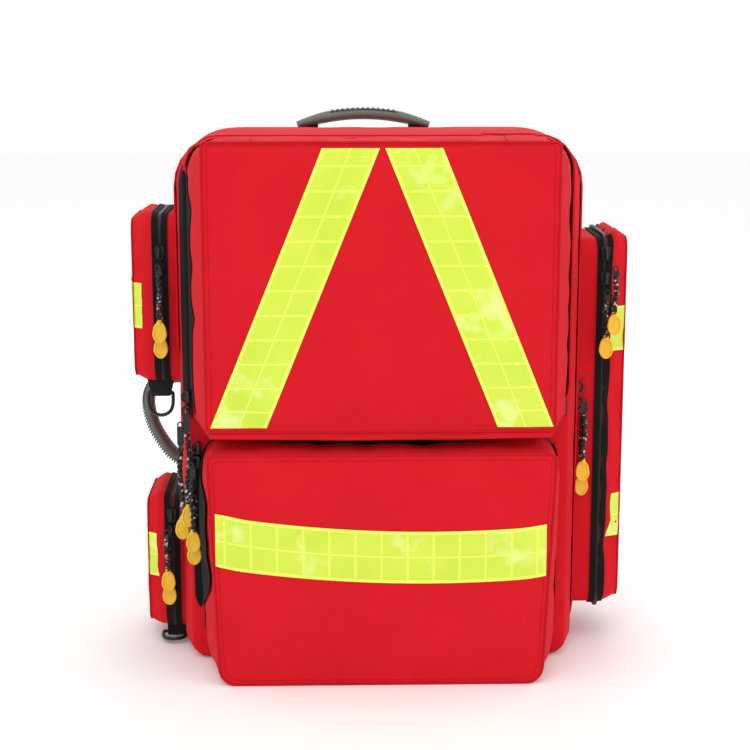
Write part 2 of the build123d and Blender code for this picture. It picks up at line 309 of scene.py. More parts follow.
def choose(piece, kind, test):
    # leaves edit mode on with only the vertices, edges or faces that pass the test selected
    only(piece)
    bpy.ops.object.mode_set(mode="EDIT")
    bpy.ops.mesh.select_mode(type=kind)
    bpy.ops.mesh.select_all(action="DESELECT")
    objectMode()
    mesh = piece.data
    if kind == "VERT":
        for vertex in mesh.vertices:
            vertex.select = test(vertex.co)
    elif kind == "EDGE":
        for edge in mesh.edges:
            edge.select = test(*[mesh.vertices[i].co for i in edge.vertices])
    else:
        for face in mesh.polygons:
            face.select = test(face.center, face.normal)
    bpy.ops.object.mode_set(mode="EDIT")


def selectAll(piece):
    only(piece)
    bpy.ops.object.mode_set(mode="EDIT")
    bpy.ops.mesh.select_all(action="SELECT")


def startBox(name, low, high):
    middle = [(a + b) / 2 * mm for a, b in zip(low, high)]
    noneSelected()
    bpy.ops.mesh.primitive_cube_add(size=1, location=middle)
    piece = bpy.context.object
    piece.name = name
    piece.scale = [(b - a) * mm for a, b in zip(low, high)]
    bpy.ops.object.transform_apply(location=True, rotation=True, scale=True)
    return piece


def applyModifier(piece, kind, **settings):
    only(piece)
    modifier = piece.modifiers.new(kind.lower(), kind)
    for key, value in settings.items():
        setattr(modifier, key, value)
    bpy.ops.object.modifier_apply(modifier=modifier.name)


def smooth(piece, angle=40):
    only(piece)
    bpy.ops.object.shade_smooth_by_angle(angle=math.radians(angle))


def softBox(name, low, high, radius, segments=2):
    piece = startBox(name, low, high)
    applyModifier(piece, "BEVEL", width=radius * mm, segments=segments)
    smooth(piece)
    return piece


def paint(piece, material):
    piece.data.materials.append(material)
    return piece


def dress(piece, material, body=None, replaced=()):
    if not piece.data.materials:
        piece.data.materials.append(material)
    if body:
        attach(piece, body)
    if replaced:
        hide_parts(*replaced)
    return piece


def join(name, pieces):
    only(*pieces)
    bpy.ops.object.join()
    piece = bpy.context.object
    piece.name = name
    return piece


def turned(piece, degrees):
    piece.data.transform(Matrix.Rotation(math.radians(degrees), 4, "Z"))
    return piece


def copied(model, name, matrix):
    piece = model.copy()
    piece.data = model.data.copy()
    bpy.context.scene.collection.objects.link(piece)
    piece.name = name
    piece.data.transform(matrix)
    return piece


def cutGrid(piece, step):
    corners = [Vector(corner) * 1000 for corner in piece.bound_box]
    for axis in range(3):
        low, high = min(c[axis] for c in corners), max(c[axis] for c in corners)
        count = max(1, round((high - low) / step))
        for index in range(1, count):
            place, normal = [0, 0, 0], [0, 0, 0]
            place[axis] = (low + (high - low) * index / count) * mm
            normal[axis] = 1
            selectAll(piece)
            bpy.ops.mesh.bisect(plane_co=place, plane_no=normal)
    objectMode()


def roundedFrame(section):
    # section: depth, left, right, bottom, top, upper corner radius, lower corner radius
    y, left, right, bottom, top, upper, lower = section
    middle = at((left + right) / 2, y, (bottom + top) / 2)
    noneSelected()
    bpy.ops.mesh.primitive_plane_add(size=1, location=middle, rotation=(math.pi / 2, 0, 0))
    piece = bpy.context.object
    piece.scale = ((right - left) * mm, (top - bottom) * mm, 1)
    bpy.ops.object.transform_apply(location=True, rotation=True, scale=True)
    for isUpper, radius in ((True, upper), (False, lower)):
        choose(piece, "VERT", lambda co: (co.z > middle.z) == isUpper)
        bpy.ops.mesh.bevel(offset=radius * mm, segments=6, affect="VERTICES")
    objectMode()
    return piece


def loftTray(name, sections, step=9.0, openFace=False):
    # a shell whose back is open: rounded outlines, rear one first, bridged to the face, which looks along -Y
    piece = join(name, [roundedFrame(section) for section in sections])
    choose(piece, "FACE", lambda c, n: True)
    bpy.ops.mesh.delete(type="ONLY_FACE")
    depths = [section[0] * mm for section in sections]

    def flat(a, b, y):
        return abs(a.y - y) < 1e-5 and abs(b.y - y) < 1e-5

    for rear, front in zip(depths, depths[1:]):
        choose(piece, "EDGE", lambda a, b: flat(a, b, rear) or flat(a, b, front))
        bpy.ops.mesh.bridge_edge_loops()
    if not openFace:
        choose(piece, "EDGE", lambda a, b: flat(a, b, depths[-1]))
        bpy.ops.mesh.edge_face_add()
    selectAll(piece)
    bpy.ops.mesh.normals_make_consistent(inside=False)
    objectMode()
    right = max(piece.data.polygons, key=lambda face: face.center.x)
    if right.normal.x < 0:
        selectAll(piece)
        bpy.ops.mesh.flip_normals()
    cutGrid(piece, step)
    return piece


def seamVertices(piece):
    # the rim of the face: where a face looking forward meets one that does not
    forward, sideways = set(), set()
    for face in piece.data.polygons:
        (forward if face.normal.y < -0.9 else sideways).update(face.vertices)
    return forward & sideways


def rimVertices(piece):
    uses = {}
    for face in piece.data.polygons:
        for key in face.edge_keys:
            uses[key] = uses.get(key, 0) + 1
    return {i for key, count in uses.items() if count == 1 for i in key}


def creaseSeam(piece, seam, sharpness=0.75):
    choose(piece, "EDGE", lambda a, b: False)
    objectMode()
    for edge in piece.data.edges:
        edge.select = all(i in seam for i in edge.vertices)
    bpy.ops.object.mode_set(mode="EDIT")
    bpy.ops.transform.edge_crease(value=sharpness)
    objectMode()


cloth = {"frames": 16, "quality": 4, "mass": 0.25, "tension": 12, "compression": 12, "shear": 6,
         "bending": 0.6}


def puff(piece, held, pressure=3.0, cap=6.0, grow=0.012):
    # air pressure and a little spare cloth between the sewn seams
    before = [v.co.copy() for v in piece.data.vertices]
    group = piece.vertex_groups.new(name="sewn")
    group.add(list(held), 1.0, "REPLACE")
    only(piece)
    modifier = piece.modifiers.new("cloth", "CLOTH")
    modifier.settings.quality = cloth["quality"]
    modifier.settings.mass = cloth["mass"]
    modifier.settings.tension_stiffness = cloth["tension"]
    modifier.settings.compression_stiffness = cloth["compression"]
    modifier.settings.shear_stiffness = cloth["shear"]
    modifier.settings.bending_stiffness = cloth["bending"]
    modifier.settings.vertex_group_mass = "sewn"
    modifier.settings.shrink_min = -grow
    modifier.settings.use_pressure = True
    modifier.settings.uniform_pressure_force = pressure
    modifier.settings.effector_weights.gravity = 0
    modifier.collision_settings.use_collision = False
    modifier.point_cache.frame_start = 1
    modifier.point_cache.frame_end = cloth["frames"]
    for number in range(1, cloth["frames"] + 1):
        bpy.context.scene.frame_set(number)
    bpy.ops.object.modifier_apply(modifier=modifier.name)
    piece.vertex_groups.clear()
    bpy.context.scene.frame_set(1)
    for vertex, old in zip(piece.data.vertices, before):
        shift = vertex.co - old
        if shift.length > cap * mm:
            vertex.co = old + shift * (cap * mm / shift.length)
        vertex.co.z = max(vertex.co.z, 0.0002)


def ringOf(piece, chosen):
    # the chosen vertices in order round their middle
    points = [piece.data.vertices[i].co.copy() for i in chosen]
    middle = sum(points, Vector()) / len(points)
    spread = [max(p[a] for p in points) - min(p[a] for p in points) for a in range(3)]
    flat = spread.index(min(spread))
    a, b = [i for i in range(3) if i != flat]
    return sorted(points, key=lambda p: math.atan2(p[b] - middle[b], p[a] - middle[a]))


def curveOf(name, points, closed=False, order=3, resolution=3):
    data = bpy.data.curves.new(name, "CURVE")
    data.dimensions = "3D"
    spline = data.splines.new("NURBS")
    spline.points.add(len(points) - 1)
    for point, place in zip(spline.points, points):
        point.co = (*place, 1)
    spline.order_u = order
    spline.use_endpoint_u = not closed
    spline.use_cyclic_u = closed
    spline.resolution_u = resolution
    curve = bpy.data.objects.new(name, data)
    bpy.context.scene.collection.objects.link(curve)
    return curve


def tube(name, points, radius, closed=False, sides=3, order=3):
    curve = curveOf(name, points, closed, order)
    curve.data.bevel_depth = radius
    curve.data.bevel_resolution = sides
    curve.data.use_fill_caps = not closed
    only(curve)
    bpy.ops.object.convert(target="MESH")
    piece = bpy.context.object
    smooth(piece, 60)
    return piece


def routePoints(points, closed=False, resolution=24):
    curve = curveOf("route", points, closed, resolution=resolution)
    mesh = bpy.data.meshes.new_from_object(curve)
    path = [v.co.copy() for v in mesh.vertices]
    bpy.data.objects.remove(curve)
    return path + path[:1] if closed else path


def webbing(name, points, across, wide, thick=1.6, bevel=0.4):
    # a flat strap along the points; across is the direction of its width
    noneSelected()
    bpy.ops.mesh.primitive_plane_add(size=1)
    piece = bpy.context.object
    piece.name = name
    half = Vector(across).normalized() * (wide / 2 * mm)
    first, second = points[0], points[1]
    corners = (first - half, first + half, second - half, second + half)
    for vertex, place in zip(piece.data.vertices, corners):
        vertex.co = place
    if len(points) > 2:
        choose(piece, "VERT", lambda co: min((co - second - half).length, (co - second + half).length) < 1e-6)
        for before, after in zip(points[1:], points[2:]):
            bpy.ops.mesh.extrude_region_move(TRANSFORM_OT_translate={"value": tuple(after - before)})
        objectMode()
    applyModifier(piece, "SOLIDIFY", thickness=thick * mm, offset=0)
    applyModifier(piece, "BEVEL", width=bevel * mm, segments=1, limit_method="ANGLE")
    selectAll(piece)
    bpy.ops.mesh.normals_make_consistent(inside=False)
    smooth(piece, 30)
    return piece


def repeatAlong(name, model, path, pitch, across=None, up=None):
    # copies of a model whose X runs along the path, Y across it and Z away from the surface
    travelled, due, copies = 0.0, pitch / 2, []
    for a, b in zip(path, path[1:]):
        step = (b - a).length
        if step < 1e-7:
            continue
        ahead = (b - a) / step
        if across:
            side = Vector(across)
            rise = ahead.cross(side).normalized()
        else:
            side = Vector(up).cross(ahead).normalized()
            rise = ahead.cross(side).normalized()
        turn = Matrix((ahead, side, rise)).transposed().to_4x4()
        while due <= travelled + step:
            turn.translation = a.lerp(b, (due - travelled) / step)
            copies.append(copied(model, name, turn))
            due += pitch
        travelled += step
    return join(name, copies)


def smallBox(size, bevel=0.0):
    # a model for repeatAlong, centred on the origin
    piece = startBox("model", [-s / 2 for s in size], [s / 2 for s in size])
    if bevel:
        applyModifier(piece, "BEVEL", width=bevel * mm, segments=1)
    smooth(piece, 50)
    return piece


stitchModel = smallBox((2.3, 0.55, 0.5), 0.12)
toothModel = smallBox((1.3, 3.6, 1.3), 0.3)


def insetRing(points, distance):
    middle = sum(points, Vector()) / len(points)
    half = [max(abs(p[a] - middle[a]) for p in points) or 1 for a in range(3)]
    share = [1 - min(distance * mm / h, 0.9) for h in half]
    return [Vector([middle[a] + (p[a] - middle[a]) * share[a] for a in range(3)]) for p in points]


def laidOn(target, points, direction, lift=0.25):
    # each point dropped along the direction onto the target's skin
    way = Vector(direction)
    laid = []
    for point in points:
        hit, place, normal, index = target.ray_cast(point - way * 0.06, way)
        laid.append(place - way * lift * mm if hit else point)
    return laid


def stitchRow(name, target, points, direction, body, material=None, closed=True, pitch=3.4):
    path = laidOn(target, points + points[:1] if closed else points, direction)
    path = [p for i, p in enumerate(path) if i == 0 or (p - path[i - 1]).length < 0.03]
    row = repeatAlong(name, stitchModel, path, pitch * mm, up=-Vector(direction))
    return dress(row, material or redThread, body)


def ridge(name, points, body=None, radius=1.25, closed=True, material=None):
    piece = tube(name, points, radius * mm, closed=closed, sides=2)
    return dress(piece, material or seamCloth, body)


def wallUp(piece, thickness, material, lining=None):
    piece.data.materials.append(material)
    if lining:
        piece.data.materials.append(lining)
    applyModifier(piece, "SUBSURF", levels=1, render_levels=1)
    applyModifier(piece, "SOLIDIFY", thickness=thickness * mm, offset=-1, use_even_offset=False,
                  material_offset=1 if lining else 0)
    smooth(piece, 50)


def rimBand(name, low, high, along, radius, keep, target, lift=0.4, thick=0.7, step=7.0, edge=None):
    # a band of zip tape or a storm flap round a zip; along is the axis of its width, keep tells which
    # stretch stays, and edge how far forward it may reach
    piece = startBox(name, low, high)
    choose(piece, "EDGE", lambda a, b: abs(a[along] - b[along]) > 1e-4)
    bpy.ops.mesh.bevel(offset=radius * mm, segments=6, affect="EDGES")
    choose(piece, "FACE", lambda c, n: abs(n[along]) > 0.9)
    bpy.ops.mesh.delete(type="FACE")
    objectMode()
    cutGrid(piece, step)
    choose(piece, "FACE", lambda c, n: not keep(c * 1000))
    bpy.ops.mesh.delete(type="FACE")
    objectMode()
    if edge:
        for vertex in piece.data.vertices:
            vertex.co.y = max(vertex.co.y, edge(vertex.co * 1000) * mm)
        selectAll(piece)
        bpy.ops.mesh.remove_doubles(threshold=0.2 * mm)
        objectMode()
    if target:
        applyModifier(piece, "SHRINKWRAP", target=target, wrap_method="NEAREST_SURFACEPOINT",
                      wrap_mode="ABOVE_SURFACE", offset=lift * mm)
    applyModifier(piece, "SOLIDIFY", thickness=thick * mm, offset=1)
    smooth(piece, 50)
    return piece


# cords, sliders and tags of the zip pulls

# route: how far aside, in sways, and how far down, in lengths
pull = {"hang": 10, "cord": 2.8, "strand": 1.55, "twist": 11.0, "tagHalf": 10.5,
        "route": ((0, 0), (0.3, 0.15), (1, 0.4), (-0.6, 0.75), (0, 1))}
# slider seat and turn, axes of pulls a and b, slider heights, puller and cord lengths, sway of each cord
pairs = {
    "upper": [(-178.5, -68.5), -90, ((-182, -77), (-188.5, -70)), (263, 249), 22, 72, (2.5, -2)],
    "lower": [(-169.5, -70.8), -90, ((-176.5, -91), (-176.5, -84)), (214, 200), 14, 52, (-1.5, 2.5)],
    "main": [(191.0, -26.2), 90, ((199.5, -33), (199.5, -26)), (262, 246), 14, 48, (2, -1.5)],
    "left_upper": [(-209, -20.0), 0, ((-209, -38.5), (-209, -31.5)), (394, 378), 10, 44, (2, -1)],
    "left_lower": [(-203.5, -20.0), 0, ((-206.5, -38.5), (-206.5, -31.5)), (134, 118), 6, 36, (-2, 1.5)],
    "right": [(218.5, -20.0), 0, ((226, -38.5), (219.5, -31.5)), (392, 368), 10, 36, (1.5, -2)],
}


def strandPoints(path, phase):
    travelled, points = 0.0, []
    for index, place in enumerate(path):
        ahead = path[min(index + 1, len(path) - 1)] - path[max(index - 1, 0)]
        side = ahead.cross(Vector((0.3, 1, 0))).normalized()
        other = ahead.cross(side).normalized()
        angle = phase + travelled / (pull["twist"] * mm) * 2 * math.pi
        points.append(place + (side * math.cos(angle) + other * math.sin(angle))
                      * (pull["cord"] - pull["strand"]) * mm)
        if index + 1 < len(path):
            travelled += (path[index + 1] - place).length
    return points


def makeTag():
    tag = {"wide": 13.0, "tall": 21.0, "thick": 4.0, "rim": 1.2, "dish": 0.5, "lowerSwell": 1.08}
    noneSelected()
    bpy.ops.mesh.primitive_cylinder_add(vertices=40, radius=0.5, depth=1, rotation=(math.pi / 2, 0, 0))
    piece = bpy.context.object
    piece.scale = (tag["wide"] * mm, tag["thick"] * mm, tag["tall"] * mm)
    piece.data.transform(Matrix.Rotation(math.pi / 2, 4, "X"))
    piece.rotation_euler = (0, 0, 0)
    bpy.ops.object.transform_apply(location=True, rotation=True, scale=True)
    choose(piece, "FACE", lambda c, n: abs(n.y) > 0.95)
    bpy.ops.mesh.inset(thickness=1.6 * mm)
    bpy.ops.mesh.inset(thickness=0.6 * mm)
    bpy.ops.transform.resize(value=(1, 1 - 2 * tag["dish"] / tag["thick"], 1), center_override=(0, 0, 0))
    choose(piece, "VERT", lambda co: co.z < 0)
    bpy.ops.transform.resize(value=(tag["lowerSwell"], 1, 1), center_override=(0, 0, 0))
    objectMode()
    applyModifier(piece, "BEVEL", width=0.8 * mm, segments=2, limit_method="ANGLE",
                  angle_limit=math.radians(50))
    smooth(piece, 35)
    collar = tube("collar", [at(0, 0, 12.5), at(0, 0, 9.5), at(0, 0, 7.5)], 2.6 * mm, sides=3)
    return join("tagModel", [collar, piece])


def makeSlider():
    # seat at the origin, the bridge reaching out along -Y
    slider = {"half": 4.5, "deep": 3.2, "tall": 13, "seat": -0.6, "mouth": 0.72}
    half, tall, seat = slider["half"], slider["tall"] / 2, slider["seat"]
    body = startBox("sliderBody", (-half, seat - slider["deep"], -tall), (half, seat, tall))
    choose(body, "EDGE", lambda a, b: abs(a.y - b.y) > 1e-4)
    bpy.ops.mesh.bevel(offset=2.2 * mm, segments=3, affect="EDGES")
    choose(body, "VERT", lambda co: co.z < 0)
    bpy.ops.transform.resize(value=(slider["mouth"], 1, 1), center_override=(0, 0, 0))
    choose(body, "FACE", lambda c, n: n.y < -0.9)
    bpy.ops.mesh.inset(thickness=1.0 * mm)
    bpy.ops.transform.translate(value=(0, 0.4 * mm, 0))
    objectMode()
    applyModifier(body, "BEVEL", width=0.4 * mm, segments=2, limit_method="ANGLE")
    smooth(body, 35)
    bow = [(-3.4, 5), (-7.4, 4.4), (-7.9, 0), (-7.4, -4.4), (-3.4, -5)]
    bridge = tube("bridge", [at(0, y, z) for y, z in bow], 1.25 * mm, sides=3)
    return join("sliderModel", [bridge, body])


def makePuller(length):
    # a ring in the slider's bridge and a slotted plate; the top is at the origin
    bpy.ops.mesh.primitive_torus_add(major_radius=2.5 * mm, minor_radius=0.75 * mm, major_segments=24,
                                     minor_segments=8, location=at(0, 0, -2.6), rotation=(math.pi / 2, 0, 0))
    ring = bpy.context.object
    bpy.ops.object.transform_apply(location=True, rotation=True, scale=True)
    smooth(ring, 60)
    plate = startBox("plate", (-3.2, -0.9, -length), (3.2, 0.9, -4.4))
    choose(plate, "EDGE", lambda a, b: abs(a.y - b.y) > 1e-4)
    bpy.ops.mesh.bevel(offset=1.1 * mm, segments=2, affect="EDGES")
    choose(plate, "FACE", lambda c, n: abs(n.y) > 0.9)
    bpy.ops.mesh.inset(thickness=0.8 * mm)
    bpy.ops.transform.resize(value=(1, 0.6, 1), center_override=at(0, 0, -length / 2))
    objectMode()
    smooth(plate, 35)
    return join("pullerModel", [ring, plate])


tagModel = makeTag()
sliderModel = makeSlider()
for pairName, (seat, turn, axes, heights, pullerLength, length, sways) in pairs.items():
    noneSelected()
    pullerModel = makePuller(pullerLength)
    for letter, axis, height, sway in zip("ab", axes, heights, sways):
        body = pairName + "_slider_" + letter
        place = Matrix.Translation(at(*seat, height)) @ Matrix.Rotation(math.radians(turn), 4, "Z")
        dress(copied(sliderModel, body + "_body", place), blackEnamel, body, [body])
        body = pairName + "_pull_" + letter
        place = Matrix.Translation(at(*axis, height - pull["hang"]))
        dress(copied(pullerModel, body + "_puller", place), blackEnamel, body)
        x, y = axis
        top = height - pull["hang"] - pullerLength
        route = [at(x + sway * aside, y, top - length * down) for aside, down in pull["route"]]
        path = routePoints(route)
        strands = [tube("strand", strandPoints(path, phase), pull["strand"] * mm, sides=2)
                   for phase in (0, math.pi)]
        cordPiece = join(body + "_cord", strands)
        place = Matrix.Translation(at(x, y, top - length - pull["tagHalf"]))
        tagPiece = copied(tagModel, body + "_tag", place)
        dress(cordPiece, fleckedCord, body, [body])
        dress(tagPiece, amberMoulding, body)
    bpy.data.objects.remove(pullerModel)
bpy.data.objects.remove(tagModel)
bpy.data.objects.remove(sliderModel)
print("cords, sliders and tags")


# upper front pocket

upperPocket = {"rear": (-66.3, -177, 177, 242.2, 504, 29, 3), "face": (-129, -159.5, 159.5, 242.2, 505, 4, 4),
               "pressure": 2.2, "cap": 5.0, "wall": 3.4, "zipLeft": 31.0, "zipUp": 472, "zipLow": 240,
               "roundTop": 26, "roundLow": 30, "gussetSeams": (-116, 112)}
upperFlap = loftTray("upperFlap", [upperPocket["rear"], upperPocket["face"]])
choose(upperFlap, "FACE", lambda c, n: n.z < -0.9)
bpy.ops.mesh.delete(type="FACE")
objectMode()
seam = seamVertices(upperFlap)
creaseSeam(upperFlap, seam)
puff(upperFlap, seam | rimVertices(upperFlap), upperPocket["pressure"], upperPocket["cap"])
upperSeam = ringOf(upperFlap, seam)
wallUp(upperFlap, upperPocket["wall"], redCloth, greyLining)
dress(upperFlap, redCloth, "upper_flap", ["upper_flap"])
ridge("upperSeamRidge", upperSeam, "upper_flap")
stitchRow("upperStitches", upperFlap, insetRing(upperSeam, 5), (0, 1, 0), "upper_flap")


def upperZip(c):
    return c.x < -150 and c.z < upperPocket["zipUp"]


def upperEdge(c):
    below = (upperPocket["zipUp"] - c.z) / upperPocket["roundTop"]
    above = (c.z - upperPocket["zipLow"]) / upperPocket["roundLow"]
    share = min(1.0, max(0.0, below), max(0.0, above))
    return -67.3 - upperPocket["zipLeft"] * share ** 0.5


upperTapeBand = rimBand("upperZipTape", (-179, -66.3 - upperPocket["zipLeft"], 242.8), (179, -66.6, 508),
                        1, 29, upperZip, upperFlap, step=4.5, edge=upperEdge)
dress(upperTapeBand, zipCloth, "upper_flap")
for number, x in enumerate(upperPocket["gussetSeams"]):
    line = laidOn(upperFlap, [at(x, y, 530) for y in (-70, -84, -98, -112, -126)], (0, 0, -1), 0.0)
    ridge("topGussetSeam" + str(number), line, "upper_flap", 1.0, False)
print("upper pocket")

# lower front pocket, its bottom sewn to the lid

lowerPocket = {"rear": (-63, -168, 168, 0, 224, 22, 16), "face": (-134, -156, 156, 0.6, 222, 7, 16),
               "pressure": 3.2, "cap": 7.0, "wall": 3.4, "leafTop": 214, "leafBottom": 56, "leafWide": 62,
               "zipTopWithShade": 44, "leafBulge": 2, "flare": (5.5, 3.5, 5.0, 5.5), "bendStart": 12, "bendEnd": 56}
lowerCloth = loftTray("lowerPocket", [lowerPocket["rear"], lowerPocket["face"]])
rearY, faceY, faceTop = lowerPocket["rear"][0], lowerPocket["face"][0], lowerPocket["face"][4]
for vertex in lowerCloth.data.vertices:
    # the face is wider at the top than at the bottom
    forward = (vertex.co.y * 1000 - rearY) / (faceY - rearY)
    rise = vertex.co.z * 1000 / faceTop
    leftIn, leftOut, rightIn, rightOut = lowerPocket["flare"]
    out = (leftOut + leftIn) * rise - leftIn if vertex.co.x < 0 else (rightIn + rightOut) * rise - rightIn
    vertex.co.x += forward * out * mm * vertex.co.x / 0.156
seam = seamVertices(lowerCloth)
creaseSeam(lowerCloth, seam)
puff(lowerCloth, seam | rimVertices(lowerCloth), lowerPocket["pressure"], lowerPocket["cap"])
lowerSeam = ringOf(lowerCloth, seam)
wallUp(lowerCloth, lowerPocket["wall"], redCloth, greyLining)


def bendWithLid(piece):
    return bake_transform(piece, "lid", "lower_flap", start=at(0, 0, lowerPocket["bendStart"]),
                    end=at(0, 0, lowerPocket["bendEnd"]))


lowerSeamRidge = ridge("lowerSeamRidge", lowerSeam)
lowerStitches = stitchRow("lowerStitches", lowerCloth, insetRing(lowerSeam, 5), (0, 1, 0), None)


def leafShare(z):
    return (z - lowerPocket["leafBottom"]) / (lowerPocket["leafTop"] - lowerPocket["leafBottom"])


def lowerZipAndShade(c):
    if c.x < -140:
        return 0 < leafShare(c.z) < 1
    return c.z > 215 and abs(c.x) < 150


# the edge of the band: on the left a wide leaf; along the top a run that reaches 44 mm forward, wider than
# the zip tape, so that it shows as a black sliver under the upper pocket's lip, which is painted shade
def lowerEdge(c):
    if c.x < -150:
        share = min(0.999, max(0.001, leafShare(c.z)))
        return -67 - lowerPocket["leafWide"] * min(1, 1.35 * math.sin(math.pi * share) ** 0.7)
    return -67 - lowerPocket["zipTopWithShade"] * max(0, 1 - (c.x / 150) ** 2) ** 0.5


# black zip tape round the lower pocket; its wide top run is partly painted shade
lowerTapeAndShadeBand = rimBand("lowerZipTape", (-170, -66 - lowerPocket["leafWide"], 6), (170, -66.4, 227), 1, 22,
                        lowerZipAndShade, lowerCloth, step=4.5, edge=lowerEdge)
for vertex in lowerTapeAndShadeBand.data.vertices:
    share = leafShare(vertex.co.z * 1000)
    if vertex.co.x < -0.14 and 0 < share < 1:
        vertex.co.x -= lowerPocket["leafBulge"] * mm * math.sin(math.pi * share)
dress(lowerTapeAndShadeBand, zipCloth)
dress(lowerCloth, redCloth)
for piece in (lowerCloth, lowerSeamRidge, lowerStitches, lowerTapeAndShadeBand):
    bendWithLid(piece)
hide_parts("lower_flap")
print("lower pocket")


# reflective tapes

def tapeStrip(name, corners, target, body, replaced, direction, bow=0.0, cuts=(48, 8)):
    # corners run along one long edge and back along the other; the map is in metres, v from the middle
    noneSelected()
    bpy.ops.mesh.primitive_plane_add(size=1)
    piece = bpy.context.object
    piece.name = name
    a, b, c, d = [at(*corner) for corner in corners]
    for vertex, place in zip(piece.data.vertices, (a, b, d, c)):
        vertex.co = place
    long = (b - a).length
    for loop, cell in zip(piece.data.loops, piece.data.uv_layers.active.data):
        cell.uv = ((cell.uv[0] - 0.5) * long, (cell.uv[1] - 0.5) * 0.048)
    centre = (a + b + c + d) / 4
    forward = (b - a).normalized()
    sideways = forward.cross((b - a).cross(d - a)).normalized()
    for far, normal, count in ((b, forward, cuts[0]), (d, sideways, cuts[1])):
        for index in range(1, count):
            selectAll(piece)
            bpy.ops.mesh.bisect(plane_co=a.lerp(far, index / count), plane_no=normal)
    objectMode()
    for vertex in piece.data.vertices:
        share = (vertex.co - centre).dot(forward) / (long / 2)
        vertex.co.z -= bow * mm * (1 - share * share)
    laid = laidOn(target, [vertex.co.copy() for vertex in piece.data.vertices], direction, 0.45)
    for vertex, place in zip(piece.data.vertices, laid):
        vertex.co = place
    if piece.data.polygons[0].normal.dot(Vector(direction)) > 0:
        selectAll(piece)
        bpy.ops.mesh.flip_normals()
    applyModifier(piece, "SOLIDIFY", thickness=0.5 * mm, offset=1)
    smooth(piece, 40)
    return dress(piece, reflectiveTape, body, replaced)


diagonal = {"top": (28, 500), "bottom": (131, 247), "half": 25.6, "topShift": 1.0}
for side, name in ((-1, "leftDiagonalTape"), (1, "rightDiagonalTape")):
    (topX, topZ), (lowX, lowZ), half = diagonal["top"], diagonal["bottom"], diagonal["half"]
    topX, lowX = side * topX + diagonal["topShift"], side * lowX + diagonal["topShift"]
    corners = [(topX + side * half, -150, topZ), (lowX + side * half, -150, lowZ),
               (lowX - side * half, -150, lowZ), (topX - side * half, -150, topZ)]
    tapeStrip(name, corners, upperFlap, "upper_flap", ["upper_tapes"] if side < 0 else [], (0, 1, 0))
band = {"half": 152.5, "leftLow": 118, "rightLow": 106.5, "tall": 49.5, "bow": 9.6}
corners = [(-band["half"], -150, band["leftLow"]), (band["half"], -150, band["rightLow"]),
           (band["half"], -150, band["rightLow"] + band["tall"]),
           (-band["half"], -150, band["leftLow"] + band["tall"])]
tapeStrip("lowerBand", corners, lowerCloth, "lower_flap", ["lower_tape"], (0, 1, 0), bow=band["bow"])
print("front tapes")

# lid with the upper pocket's shelf

lidShape = {"rear": (-29.3, -191, 191, 0, 505, 42, 16), "face": (-62, -181.6, 181.6, 0.8, 504.2, 32, 16)}
lidShell = loftTray("lidShell", [lidShape["rear"], lidShape["face"]], 11)
puff(lidShell, seamVertices(lidShell) | rimVertices(lidShell), 2.0, 3.0, 0.008)
wallUp(lidShell, 3.4, redCloth, greyLining)
shelf = {"rearHalf": 174, "frontHalf": 157.5, "front": -128.6, "rear": -62.5, "low": 238.4, "high": 241.6,
         "lipDrop": 2.6, "sag": 1.6, "ripple": 0.9}
shelfPiece = startBox("upperShelf", (-shelf["rearHalf"], shelf["front"], shelf["low"]),
                      (shelf["rearHalf"], shelf["rear"], shelf["high"]))
choose(shelfPiece, "VERT", lambda co: co.y < -0.1)
bpy.ops.transform.resize(value=(shelf["frontHalf"] / shelf["rearHalf"], 1, 1),
                         center_override=at(0, -128, 240))
objectMode()
cutGrid(shelfPiece, 13)
applyModifier(shelfPiece, "BEVEL", width=1.0 * mm, segments=2, limit_method="ANGLE")
smooth(shelfPiece)
paint(shelfPiece, redCloth)
lip = softBox("shelfLip", (-shelf["frontHalf"], shelf["front"] - 0.6, shelf["low"] - shelf["lipDrop"]),
              (shelf["frontHalf"], shelf["front"] + 5.4, shelf["high"] - 0.4), 2.6, 3)
cutGrid(lip, 13)
for vertex in lip.data.vertices:
    share = vertex.co.x / (shelf["frontHalf"] * mm)
    vertex.co.z -= shelf["sag"] * mm * (1 - share * share)
    vertex.co.y += shelf["ripple"] * mm * math.sin(9 * share) * (1 - share * share)
paint(lip, redCloth)
lidPiece = join("lidShellAndShelf", [shelfPiece, lip, lidShell])
dress(lidPiece, redCloth, "lid", ["lid_shell"])

# rear tray

trayShape = {"rim": (23, -191, 191, 0, 505, 42, 16), "edge": (-88, -191, 191, 0, 505, 42, 16),
             "back": (-95, -185, 185, 6, 498, 36, 12)}
rearTray = loftTray("rearTray", [trayShape["rim"], trayShape["edge"], trayShape["back"]], 11)
seam = seamVertices(rearTray)
puff(rearTray, seam | rimVertices(rearTray), 1.5, 3.0, 0.006)
traySeam = [Vector((-p.x, -p.y, p.z)) for p in ringOf(rearTray, seam)]
turned(rearTray, 180)
wallUp(rearTray, 3.4, redCloth, greyLining)
dress(rearTray, redCloth, "pack", ["rear_shell"])
ridge("backSeamRidge", traySeam, "pack", 1.8, material=blackWebbing)
gusset = softBox("hingeGusset", (-168, -30, 0.2), (168, -21, 3), 1.0)
cutGrid(gusset, 8)
dress(gusset, seamCloth, "pack")


# zip teeth: main zip between the two rims, and the zips of the front pockets

def corner(u, v, radius, start, steps=6):
    # a quarter turn from the start angle, clockwise, round a centre
    turns = [math.radians(start - 90 * index / steps) for index in range(steps + 1)]
    return [(u + radius * math.cos(turn), v + radius * math.sin(turn)) for turn in turns]


def arch(y, half, bottom, top, r):
    # up the left side, over and down the right side
    outline = [(-half, bottom), (-half, (bottom + top) / 2)] + corner(-half + r, top - r, r, 180) + [(0, top)]
    outline += corner(half - r, top - r, r, 90) + [(half, (bottom + top) / 2), (half, bottom)]
    return [at(u, y, v) for u, v in outline]


